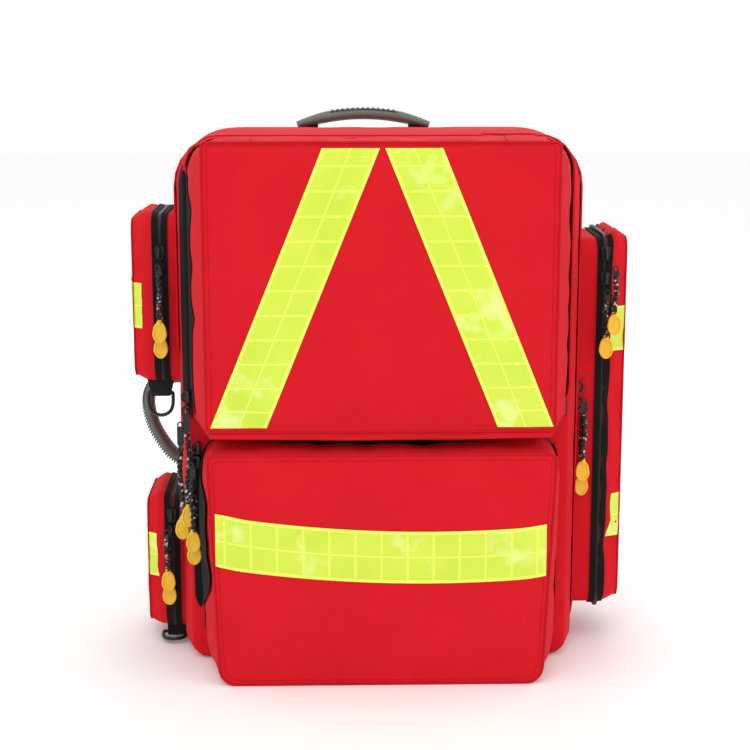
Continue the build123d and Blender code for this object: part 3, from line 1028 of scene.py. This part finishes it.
zips = {"main": (-26, 190.9, 18, 504.4, 45, "pack"), "upper": (-64, 178.0, 243, 504.5, 34, "lid"),
        "lower": (-64, 169.0, 34, 224.5, 26, "lid"), "pitch": 2.3}
for name in ("main", "upper", "lower"):
    y, half, bottom, top, radius, body = zips[name]
    teeth = repeatAlong(name + "ZipTeeth", toothModel, routePoints(arch(y, half, bottom, top, radius)),
                        zips["pitch"] * mm, across=(0, 1, 0))
    dress(teeth, blackMoulding, body)


def roundMain(c):
    return c.z > 17 and not (c.x < -150 and c.z < 300)


def roundUpper(c):
    return (c.z > 478 or c.x > 0) and not (92 < c.x < 142 and c.z > 480)


def besideLower(c):
    return c.x > 150 and c.z < 216


# half width, bottom, top, front, rear, corner radius, body, the stretch that stays
stormFlaps = {"main": (191.7, -0.5, 505.8, -33, -19.5, 48, "pack", roundMain),
              "upper": (178.6, 243, 507.0, -74, -58.5, 31, "lid", roundUpper),
              "lower": (169.8, 34, 227, -72, -58.5, 24, "lid", besideLower)}
for name, (half, bottom, top, front, rear, radius, body, stretch) in stormFlaps.items():
    stormFlap = rimBand(name + "StormFlap", (-half, front, bottom), (half, rear, top), 1, radius, stretch,
                        None, thick=1.5)
    dress(stormFlap, redCloth, body)


def zipAndShadePatch(name, middle, half, low, high):
    # the black tape left showing where a zip is not closed, widened over the shaded gap beside the zip:
    # partly zip tape, partly painted shade; laid on the front of the lid
    noneSelected()
    bpy.ops.mesh.primitive_grid_add(x_subdivisions=6, y_subdivisions=40, size=1)
    piece = bpy.context.object
    piece.name = name
    places = []
    for vertex in piece.data.vertices:
        share = vertex.co.y + 0.5
        wide = half * min(1, 2.4 * math.sin(math.pi * min(0.999, max(0.001, share))) ** 0.6)
        places.append(at(middle + 2 * vertex.co.x * wide, -120, low + share * (high - low)))
    for vertex, place in zip(piece.data.vertices, laidOn(lidPiece, places, (0, 1, 0), 0.4)):
        vertex.co = place
    if piece.data.polygons[0].normal.y > 0:
        selectAll(piece)
        bpy.ops.mesh.flip_normals()
    applyModifier(piece, "SOLIDIFY", thickness=0.6 * mm, offset=1)
    smooth(piece, 40)
    dress(piece, zipCloth, "lid")


# middle, half width, bottom and top
zipAndShadePatches = {"upper": (-182.2, 4.4, 246, 480), "lower": (-173.4, 5.0, 54, 216)}
# each patch is partly black zip tape and partly painted shade in the gap between the pocket and the lid
for name, sizes in zipAndShadePatches.items():
    zipAndShadePatch(name + "ZipAndShadePatch", *sizes)
print("lid, tray and zips")

# side pockets: a base sewn to the tray, a zip all round the front, and a puffed flap

# side, bottom, top at the body, top at the face, tape centres, start of the zip, outer face
sidePockets = {
    "left_upper": [-1, 266, 431, 428, [342], 207.5, 236.2],
    "left_lower": [-1, 15, 152, 150, [92], 202, 228],
    "right": [1, 37, 407, 409, [318, 130], 217, 240.2],
}
side = {"front": -20, "rear": 88, "zipWide": 3.0, "radius": 16, "wall": 2.8, "tapeBand": 6.0,
        "tapeHalf": 22, "tapeFront": -17, "tapeRear": 78, "zipRear": 74}
basePieces = []
for name, (hand, bottom, top, faceTop, tapes, zipIn, flapOut) in sidePockets.items():
    left, right = (side["front"], side["rear"]) if hand > 0 else (-side["rear"], -side["front"])
    zipOut = zipIn + side["zipWide"]
    flapIn = zipOut + 0.3
    r = side["radius"]
    flap = loftTray(name + "Flap", [
        (-flapIn, left, right, bottom, top - 2, r, r),
        (11 - flapOut, left + 2, right - 2, bottom + 1, faceTop + 4, 18, 18),
        (-flapOut, left + 9, right - 9, bottom + 5, faceTop - 3, 11, 14)], 8)
    seam = seamVertices(flap)
    puff(flap, seam | rimVertices(flap), 2.5, 5.0)
    spin = Matrix.Rotation(math.radians(90 * hand), 4, "Z")
    seamPoints = [spin @ p for p in ringOf(flap, seam)]
    turned(flap, 90 * hand)
    wallUp(flap, side["wall"], redCloth, greyLining)
    dress(flap, redCloth, name + "_flap", [name + "_flap"])
    ridge(name + "SeamRidge", seamPoints, name + "_flap", 1.0)
    stitchRow(name + "Stitches", flap, insetRing(seamPoints, 4), (-hand, 0, 0), name + "_flap")
    for number, height in enumerate(tapes):
        low, high = height - side["tapeHalf"], height + side["tapeHalf"]
        corners = [(hand * 262, y, z) for y, z in ((side["tapeFront"], low), (side["tapeRear"], low),
                                                   (side["tapeRear"], high), (side["tapeFront"], high))]
        tapeStrip(name + "Tape" + str(number), corners, flap, name + "_flap",
                  [name + "_tape"] if number == 0 else [], (-hand, 0, 0), cuts=(16, 8))
    base = loftTray(name + "Base", [(-190.8, left, right, bottom, top, r, r),
                                    (-zipIn, left, right, bottom, top - 2, r, r)], 8, openFace=True)
    turned(base, 90 * hand)
    wallUp(base, side["wall"], redCloth, greyLining)
    basePieces.append(base)
    wide = side["tapeBand"]
    for part, inner, outer, target, body in (("Inner", zipIn - wide, zipIn - 0.2, base, "pack"),
                                             ("Outer", flapIn + 0.1, flapIn + wide, flap, name + "_flap")):
        x0, x1 = sorted((hand * inner, hand * outer))
        tapeBand = rimBand(name + part + "ZipTape", (x0, side["front"] - 2, bottom - 2),
                           (x1, side["rear"] + 2, top + 1), 0, r, lambda c: c.y < side["zipRear"], target,
                           0.8)
        dress(tapeBand, zipCloth, body)
    x = hand * (zipIn + zipOut) / 2
    near, far, low, high = side["front"] + 0.4, side["zipRear"], bottom + 0.4, top - 2.4
    outline = [(far, low), ((near + far) / 2, low)] + corner(near + r, low + r, r, 270)
    outline += [(near, (low + high) / 2)] + corner(near + r, high - r, r, 180)
    outline += [((near + far) / 2, high), (far, high)]
    loop = [at(x, u, v) for u, v in outline]
    dress(repeatAlong(name + "ZipTeeth", toothModel, routePoints(loop), zips["pitch"] * mm, across=(1, 0, 0)),
          blackMoulding, "pack")
dress(join("sidePocketBases", basePieces), redCloth, "pack", ["side_pocket_bases"])
print("side pockets")


# handles

def spunArch(name, centre, radius, halfAngle, wide, tall, steps=28):
    # an oval section spun about the Y axis through the centre; with no window the spin turns the other way
    noneSelected()
    bpy.ops.mesh.primitive_circle_add(vertices=20, radius=0.5, fill_type="NGON", rotation=(0, math.pi / 2, 0))
    piece = bpy.context.object
    piece.name = name
    bpy.ops.object.transform_apply(rotation=True)
    piece.data.transform(Matrix.Diagonal((1, wide * mm, tall * mm, 1)))
    start = Matrix.Rotation(-halfAngle, 4, "Y")
    piece.data.transform(Matrix.Translation(centre) @ start @ Matrix.Translation((0, 0, radius * mm)))
    selectAll(piece)
    bpy.ops.mesh.spin(steps=steps, angle=-2 * halfAngle, center=centre, axis=(0, 1, 0))
    objectMode()
    return piece


topHandle = {"left": -80, "right": 55, "y": 99.8, "peak": 519.5, "endDrop": 11.5, "wide": 15, "tall": 11.5,
             "ribs": 13, "ribSpan": 66, "endThin": 0.62, "lift": 5.2}
chord = (topHandle["right"] - topHandle["left"]) / 2
middleX = (topHandle["right"] + topHandle["left"]) / 2
bend = (chord ** 2 + topHandle["endDrop"] ** 2) / (2 * topHandle["endDrop"])
centre = at(middleX, topHandle["y"], topHandle["peak"] - bend)
grip = spunArch("topHandleGrip", centre, bend, math.asin(chord / bend) * 0.985, topHandle["wide"],
                topHandle["tall"])
tips = [p for p in grip.data.vertices if abs((p.co - centre).length - bend * mm) < 0.02]
for vertex in tips:
    share = min(1.0, max(0.0, (abs(vertex.co.x - centre.x) / mm - 40) / (chord - 40)))
    out = (vertex.co - centre)
    level = Vector((out.x, 0, out.z)).normalized() * bend * mm
    squeeze = 1 - share * (1 - topHandle["endThin"])
    offset = Vector((out.x, 0, out.z)) - level
    vertex.co = centre + level + offset * squeeze + Vector((0, out.y * (1 + 0.1 * share), 0))
selectAll(grip)
bpy.ops.mesh.normals_make_consistent(inside=False)
smooth(grip, 50)


def overGrip(lift):
    # points over the middle of the grip, a lift above its centre line
    turns = [(-0.5 + i / 24) * topHandle["ribSpan"] / bend for i in range(25)]
    return [centre + Vector((math.sin(turn), 0, math.cos(turn))) * (bend + lift) * mm for turn in turns]


ribModel = smallBox((2.6, 13.0, 2.6), 0.8)
ribs = repeatAlong("ribs", ribModel, overGrip(topHandle["lift"]),
                   topHandle["ribSpan"] * 1.02 / topHandle["ribs"] * mm, across=(0, 1, 0))
channel = tube("gripChannel", overGrip(topHandle["lift"] - 0.9), 1.1 * mm)
channel.data.transform(Matrix.Translation((0, centre.y, 0)) @ Matrix.Diagonal((1, 5.2, 1, 1))
                       @ Matrix.Translation((0, -centre.y, 0)))
dress(channel, darkRubber, "top_handle")
dress(join("topHandleGrip", [ribs, grip]), greyRubber, "top_handle", ["top_handle"])
legPlaces = (topHandle["left"] + 12, topHandle["right"] - 12)
legs = [webbing("leg", [at(x, 99.5, z) for z in (486, 498, 510)], (1, 0, 0), 20, 2.4) for x in legPlaces]
dress(join("topHandleLegs", legs), blackWebbing, "top_handle")

sideHandle = {"y": 60, "radius": 6.0, "flatten": 2.0, "ribs": 3.0}
sideRoute = ((-197.6, 257), (-211, 257), (-228, 250), (-233, 232), (-228, 208), (-218, 190), (-208, 176),
             (-197.6, 170))
sideLine = [at(x, sideHandle["y"], z) for x, z in sideRoute]
sideGrip = tube("sideHandleGrip", sideLine, sideHandle["radius"] * mm, sides=4)
sidePlane = Matrix.Translation(at(0, sideHandle["y"], 0))
sideGrip.data.transform(sidePlane @ Matrix.Diagonal((1, sideHandle["flatten"], 1, 1)) @ sidePlane.inverted())
smooth(sideGrip, 60)
sidePath = routePoints(sideLine)
middle = at(-200, sideHandle["y"], 214)
outer = []
for a, b in zip(sidePath, sidePath[1:]):
    if (b - a).length < 1e-7:
        continue
    away = (b - a).cross(Vector((0, 1, 0))).normalized()
    if away.dot(a - middle) < 0:
        away = -away
    outer.append(a + away * sideHandle["radius"] * mm)
sideRibModel = smallBox((1.6, 18, 1.1), 0.4)
sideRibs = repeatAlong("sideHandleRibs", sideRibModel, outer, sideHandle["ribs"] * mm, across=(0, 1, 0))
dress(join("sideHandleGrip", [sideRibs, sideGrip]), greyRubber, "side_handle", ["side_handle"])
print("handles")


# D-rings and sewn anchors

ring = {"half": 12, "drop": 22, "wire": 1.8}


def ringPath(x, y, z, down):
    # a straight bar along X and a round bow; down is the direction in which the bow hangs
    h, d = ring["half"], ring["drop"]
    flat = [(0, 0), (-h * 0.8, 0), (-h, 0), (-h, -d * 0.2), (-h, -d * 0.55), (-h * 0.75, -d * 0.92),
            (0, -d * 1.08), (h * 0.75, -d * 0.92), (h, -d * 0.55), (h, -d * 0.2), (h, 0), (h * 0.8, 0)]
    return [at(x, y, z) + Vector((u * mm, 0, 0)) - Vector(down) * v * mm for u, v in flat]


upperBar, lowerBar = (-213.5, 0, 253), (-204.5, 2, 5.2)
for name, bar, down in (("upper", upperBar, (0, 0, -1)), ("lower", lowerBar, (0, -1, 0))):
    bow = tube(name + "DRing", ringPath(*bar, down), ring["wire"] * mm, closed=True)
    dress(bow, blackEnamel, name + "_d_ring", [name + "_d_ring"])


def ringTab(name, bar, top, topHalf, lean):
    x, y, z = bar
    tab = startBox(name, (x - topHalf + lean, y - 3.6, z - 3.2), (x + topHalf + lean, y + 3.6, top))
    choose(tab, "VERT", lambda co: co.z < z * mm)
    bpy.ops.transform.resize(value=(9.4 / topHalf, 0.85, 1), center_override=at(x, y, z))
    objectMode()
    cutGrid(tab, 5)
    applyModifier(tab, "BEVEL", width=1.0 * mm, segments=2, limit_method="ANGLE")
    smooth(tab)
    return tab


def plate(x, y, z, wide, tall, facing="Y", thick=2.4):
    # a webbing end with a hemmed edge
    across = (1, 0, 0) if facing == "Y" else (0, 1, 0)
    return webbing("plate", [at(x, y, z + tall * end) for end in (-0.5, 0, 0.5)], across, wide, thick)


anchors = [plate(x, 96.4, 485, 26, 30) for x in legPlaces]
anchors += [plate(-192.6, sideHandle["y"], z, 26, 16, "X") for z in (168.5, 254.5)]
anchors += [ringTab("upperRingTab", upperBar, 268.5, 13.5, 0.5), ringTab("lowerRingTab", lowerBar, 17, 9.5,
                                                                         1.5)]
yoke = {"x": 72, "line": ((97.4, 500), (98.0, 484), (99.5, 468))}
strapLoop = {"x": 155, "line": ((100, 110), (109, 112), (111.5, 117), (109, 122), (100, 124))}
for hand in (-1, 1):
    x = hand * yoke["x"]
    anchors.append(softBox("strapRoot", (x - 28, 95, 463.8), (x + 28, 108.2, 469.4), 1.6))
    anchors.append(webbing("strapYoke", [at(x, y, z) for y, z in yoke["line"]], (1, 0, 0), 50, 2.2))
    x = hand * strapLoop["x"]
    anchors.append(softBox("lowerStrapRoot", (x - 14, 95, 106), (x + 14, 101, 128), 1.6))
    anchors.append(webbing("lowerStrapLoop", [at(x, y, z) for y, z in strapLoop["line"]], (1, 0, 0), 26, 2.0))
dress(join("sewnAnchors", anchors), blackWebbing, "pack", ["webbing_anchors"])
print("rings and anchors")


# harness on the back

def pad(name, low, high, radius, channels=(), pressure=3.0, cap=3.5, step=9.0):
    # a crowned cushion: its rear rim is sewn down and its channels are sewn through
    piece = startBox(name, low, high)
    choose(piece, "EDGE", lambda a, b: abs(a.y - b.y) > 1e-4)
    bpy.ops.mesh.bevel(offset=radius * mm, segments=5, affect="EDGES")
    objectMode()
    cutGrid(piece, step)
    back, face = low[1] * mm + 0.002, high[1] * mm
    sewn = set()
    for vertex in piece.data.vertices:
        atChannel = any(abs(vertex.co.z * 1000 - z) < step * 0.51 for z in channels)
        if vertex.co.y < back:
            sewn.add(vertex.index)
        elif atChannel and vertex.co.y > face - 0.001:
            vertex.co.y -= 4.0 * mm
            sewn.add(vertex.index)
    puff(piece, sewn, pressure, cap)
    applyModifier(piece, "SUBSURF", levels=1, render_levels=1)
    smooth(piece, 60)
    return piece


def edgeLoop(x0, x1, z0, z1, y, r, z=None):
    # the outline of an upright rounded oblong, for its binding; z is the height of its middle points
    x, z = (x0 + x1) / 2, z or (z0 + z1) / 2
    places = [(x0, z0 + r), (x0, z), (x0, z1 - r), (x0 + r, z1), (x, z1), (x1 - r, z1), (x1, z1 - r), (x1, z),
              (x1, z0 + r), (x1 - r, z0), (x, z0), (x0 + r, z0)]
    return [at(u, y, v) for u, v in places]


padShapes = {"leftBackPad": ((-118, 95.4, 128), (-12, 106.5, 458)),
             "rightBackPad": ((12, 95.4, 128), (118, 106.5, 458)),
             "lumbarPad": ((-68, 95.4, 20), (68, 105, 108))}
for name, (low, high) in padShapes.items():
    rows = [low[2] + (high[2] - low[2]) * i / 5 for i in range(1, 5)] if high[2] - low[2] > 200 else []
    piece = pad(name, low, high, 18, rows)
    dress(piece, spacerMesh, "pack", ["back_pads"] if name == "lumbarPad" else [])
    outline = edgeLoop(low[0], high[0], low[2], high[2], 96.6, 18 * 0.45)
    ridge(name + "Binding", outline, "pack", 2.0, material=blackWebbing)

strapShape = {"x": 72, "half": 29.4, "deep": 11, "top": 463, "bend": 430, "lowBend": 240, "bottom": 206,
              "tacks": (236, 268, 396, 428), "lockBars": (208, 216, 224)}


def strapDepth(z):
    # how far behind the pack the strap's inner face lies at a height
    s = strapShape
    if z > s["bend"]:
        return 118 - 9 * ((z - s["bend"]) / (s["top"] - s["bend"])) ** 1.3
    if z < s["lowBend"]:
        return 118 - 6 * ((s["lowBend"] - z) / (s["lowBend"] - s["bottom"])) ** 1.3
    return 118.0


for hand, name in ((-1, "left"), (1, "right")):
    body = name + "_shoulder_strap"
    x = hand * strapShape["x"]
    piece = startBox(body + "_pad", (x - strapShape["half"], 0, strapShape["bottom"]),
                     (x + strapShape["half"], strapShape["deep"], strapShape["top"] - 1))
    choose(piece, "EDGE", lambda a, b: abs(a.y - b.y) > 1e-4)
    bpy.ops.mesh.bevel(offset=9 * mm, segments=4, affect="EDGES")
    objectMode()
    cutGrid(piece, 8)
    applyModifier(piece, "BEVEL", width=2.5 * mm, segments=2, limit_method="ANGLE")
    for vertex in piece.data.vertices:
        vertex.co.y += strapDepth(vertex.co.z * 1000) * mm
    sewn = {v.index for v in piece.data.vertices if abs(v.co.x * 1000 - x) > 24}
    puff(piece, sewn, 3.0, 2.0)
    smooth(piece, 60)
    dress(piece, spacerMesh, body, [body])
    for edge, part in ((-29, "Left"), (29, "Right")):
        line = [at(x + edge, strapDepth(z) + 6, z) for z in (210, 222, 240, 300, 360, 430, 446, 458)]
        ridge(body + "_binding" + part, line, body, 2.0, False, blackWebbing)
    runner = [at(x, strapDepth(z) + 13.2, z) for z in (212, 240, 300, 360, 415, 430, 446, 459)]
    straps = [webbing("runner", runner, (1, 0, 0), 25, 1.6)]
    tail = [at(hand * u, 112, v) for u, v in ((74, 216), (96, 193), (128, 160), (153, 133))]
    across = (tail[1] - tail[0]).cross(Vector((0, 1, 0))).normalized()
    straps.append(webbing("tail", tail, across, 24, 1.8))
    dress(join(body + "_webbing", straps), blackWebbing, body)
    tacks = [softBox("tack", (x - 12, strapDepth(z) + 13.4, z - 1.2), (x + 12, strapDepth(z) + 14.6,
                                                                       z + 1.2), 0.5)
             for z in strapShape["tacks"]]
    dress(join(body + "_bar_tacks", tacks), blackThread, body)
    frameBars = [softBox("bar", (x - 17, 124.5, z - 1.8), (x + 17, 129.0, z + 1.8), 1.2)
                 for z in strapShape["lockBars"]]
    frameBars += [softBox("side", (x + s * 15.5 - 1.8, 124.5, 207), (x + s * 15.5 + 1.8, 129.0, 225), 1.2)
                  for s in (-1, 1)]
    dress(join(body + "_ladder_lock", frameBars), blackMoulding, body)

    body = name + "_sternum_strap"
    line = [at(hand * u, 131.4, 330) for u in (84, 60, 40, 18)]
    dress(webbing(body + "_webbing", line, (0, 0, 1), 20, 1.8), blackWebbing, body, [body])
    x0, x1 = hand * 21 - 13, hand * 21 + 13
    clip = [softBox("bar", (x, 129.4, 317), (x + 3.6, 134.6, 343), 1.2)
            for x in (x0, (x0 + x1) / 2 - 1.8, x1 - 3.6)]
    clip += [softBox("side", (x0, 129.4, z), (x1, 134.6, z + 3.6), 1.2) for z in (317, 339.4)]
    dress(join(body + "_clip", clip), blackMoulding, body)

    body = name + "_hip_wing"
    x0, x1 = sorted((hand * 72.5, hand * 168))
    wing = pad(body + "_pad", (x0, 98.2, 22), (x1, 109, 96), 14, (), 2.5, 1.5, 8)
    dress(wing, spacerMesh, body, [body])
    outline = edgeLoop(x0, x1, 22, 96, 103.6, 14 * 0.45)
    ridge(body + "_binding", outline, body, 2.0, material=blackWebbing)
    fold = [at(hand * u, y, 59) for u, y in ((160, 110.4), (164, 111.4), (165, 113.4), (162, 114.6),
                                             (120, 114.6), (81, 114.6))]
    dress(webbing(body + "_webbing", fold, (0, 0, 1), 25, 1.6), blackWebbing, body)
print("harness")


# hip buckle halves

# bars: from and to in X away from the middle, rear and face, bottom and top, edge radius
buckleFrame = [(118, 100, 110.6, 118.6, 41, 46, 1.4), (118, 100, 110.6, 118.6, 72, 77, 1.4)]
buckleFrame += [(near, far, rear, rear + 2.2, low, high, 0.9) for near, far, low, high in
                ((113.5, 118, 44, 74), (99, 104, 42, 76)) for rear in (110.6, 116.4)]
plugProngs = [(76, 100, 112.2, 117.0, 43.5, 49, 1.4), (76, 100, 112.2, 117.0, 69, 74.5, 1.4),
              (80, 100, 116.2, 118.2, 55, 63, 0.8)]
socketShell = [(76, 100, 110.6, 112.8, 42, 76, 0.9), (76, 100, 116.4, 118.6, 42, 76, 0.9)]
socketShell += [(near, far, 110.6, 118.6, low, high, 1.4) for near, far, low, high in
                ((94, 100, 41, 47), (94, 100, 71, 77), (76, 82, 41, 45), (76, 82, 73, 77))]


def buckleHalf(name, hand, bars, body):
    parts = []
    for near, far, rear, face, bottom, top, radius in buckleFrame + bars:
        x0, x1 = sorted((hand * near, hand * far))
        parts.append(softBox("bar", (x0, rear, bottom), (x1, face, top), radius))
    return dress(join(name, parts), blackMoulding, body, [body])


buckleHalf("plugHalf", -1, plugProngs, "hip_buckle_plug")
buckleHalf("socketHalf", 1, socketShell, "hip_buckle_socket")

# inside: pouches on the tray and the looped panel in the lid

pouch = {"half": 80, "tall": 136, "rows": (14, 160, 306), "columns": (-88, 88), "front": 40.6, "rear": 84.6}


def makePouch():
    low, high = (-pouch["half"] + 1, pouch["front"] + 2, 1), (pouch["half"] - 1, pouch["rear"],
                                                              pouch["tall"] - 1)
    body = startBox("pouchBody", low, high)
    applyModifier(body, "BEVEL", width=7 * mm, segments=3)
    cutGrid(body, 10)
    held = {v.index for v in body.data.vertices if v.co.y > (pouch["rear"] - 4) * mm}
    puff(body, held, 2.0, 2.0)
    smooth(body, 50)
    return paint(body, pouchCloth)


pouchModel = makePouch()
trims = []
window = softBox("window", (-62, 40.3, 22), (62, 42.8, 92), 1.0)
cutGrid(window, 12)
paint(window, greyLining)
for z in (104, 107.5):
    trims.append(paint(tube("zipEdge", [at(-70, 42.0, z), at(0, 41.6, z), at(70, 42.0, z)], 1.1 * mm),
                       zipCloth))
zipTeeth = repeatAlong("teeth", toothModel, [at(-70, 41.4, 105.8), at(70, 41.4, 105.8)], zips["pitch"] * mm,
                       across=(0, 0, 1))
trims.append(paint(zipTeeth, blackMoulding))
liftLine = [at(-26, 41.8, 128), at(-16, 40.9, 124), at(16, 40.9, 124), at(26, 41.8, 128)]
trims.append(paint(webbing("lift", liftLine, (0, 0, 1), 14, 1.4), blackWebbing))
pouchModel = join("pouchModel", [window] + trims + [pouchModel])
pouches = []
for x in pouch["columns"]:
    for z in pouch["rows"]:
        pouches.append(copied(pouchModel, "organiserPouches", Matrix.Translation(at(x, 0, z))))
bpy.data.objects.remove(pouchModel)
dress(join("organiserPouches", pouches), pouchCloth, "pack", ["organiser_pouches"])

panel = {"half": 150, "bottom": 60, "top": 450, "y": (-57.6, -55.9), "loops": (-120, -60, 0, 60, 120),
         "rows": (110, 250, 390)}
board = startBox("panelBoard", (-panel["half"], panel["y"][0], panel["bottom"]),
                 (panel["half"], panel["y"][1], panel["top"]))
choose(board, "EDGE", lambda a, b: abs(a.y - b.y) > 1e-4)
bpy.ops.mesh.bevel(offset=14 * mm, segments=5, affect="EDGES")
objectMode()
cutGrid(board, 15)
applyModifier(board, "BEVEL", width=0.6 * mm, segments=1, limit_method="ANGLE")
smooth(board)
paint(board, greyLining)
loopShape = ((-29, -55.4), (-24, -55.2), (-20, -51.8), (20, -51.8), (24, -55.2), (29, -55.4))
elastics = []
for z in panel["rows"]:
    points = [at(x + u, y, z + 15) for x in panel["loops"] for u, y in loopShape]
    elastics.append(webbing("elastic", points, (0, 0, 1), 30, 1.2, 0.3))
elastics = paint(join("elastics", elastics), blackWebbing)
edging = tube("edging", edgeLoop(-panel["half"], panel["half"], panel["bottom"], panel["top"], -56.6, 7, 250),
              1.5 * mm, True)
paint(edging, blackWebbing)
dress(join("loopPanel", [edging, elastics, board]), greyLining, "lid", ["organiser_panel"])
print("inside")

for model in (stitchModel, toothModel, ribModel, sideRibModel):
    bpy.data.objects.remove(model)

# carried-over nodes

nodeFinish = {"main_zipper": coilZip, "front_zippers": coilZip, "side_zippers": coilZip,
              "frame_sheet": plainSheet, "frame_stays": millAluminium}
for name, material in nodeFinish.items():
    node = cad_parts[name]
    if node.data.materials:
        for index in range(len(node.data.materials)):
            node.data.materials[index] = material
    else:
        node.data.materials.append(material)

# floor
noneSelected()
bpy.ops.mesh.primitive_plane_add(size=14, location=(0, 0, 0))
floor = bpy.context.object
floor.name = "floor"
floorGraph = Graph("paleFloor")
floor.data.materials.append(floorGraph.finish({"Base Color": (0.97, 0.97, 0.97, 1), "Roughness": 0.9,
                                               "Specular IOR Level": 0.1}))
floor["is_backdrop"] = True

low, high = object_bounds()
print("done")
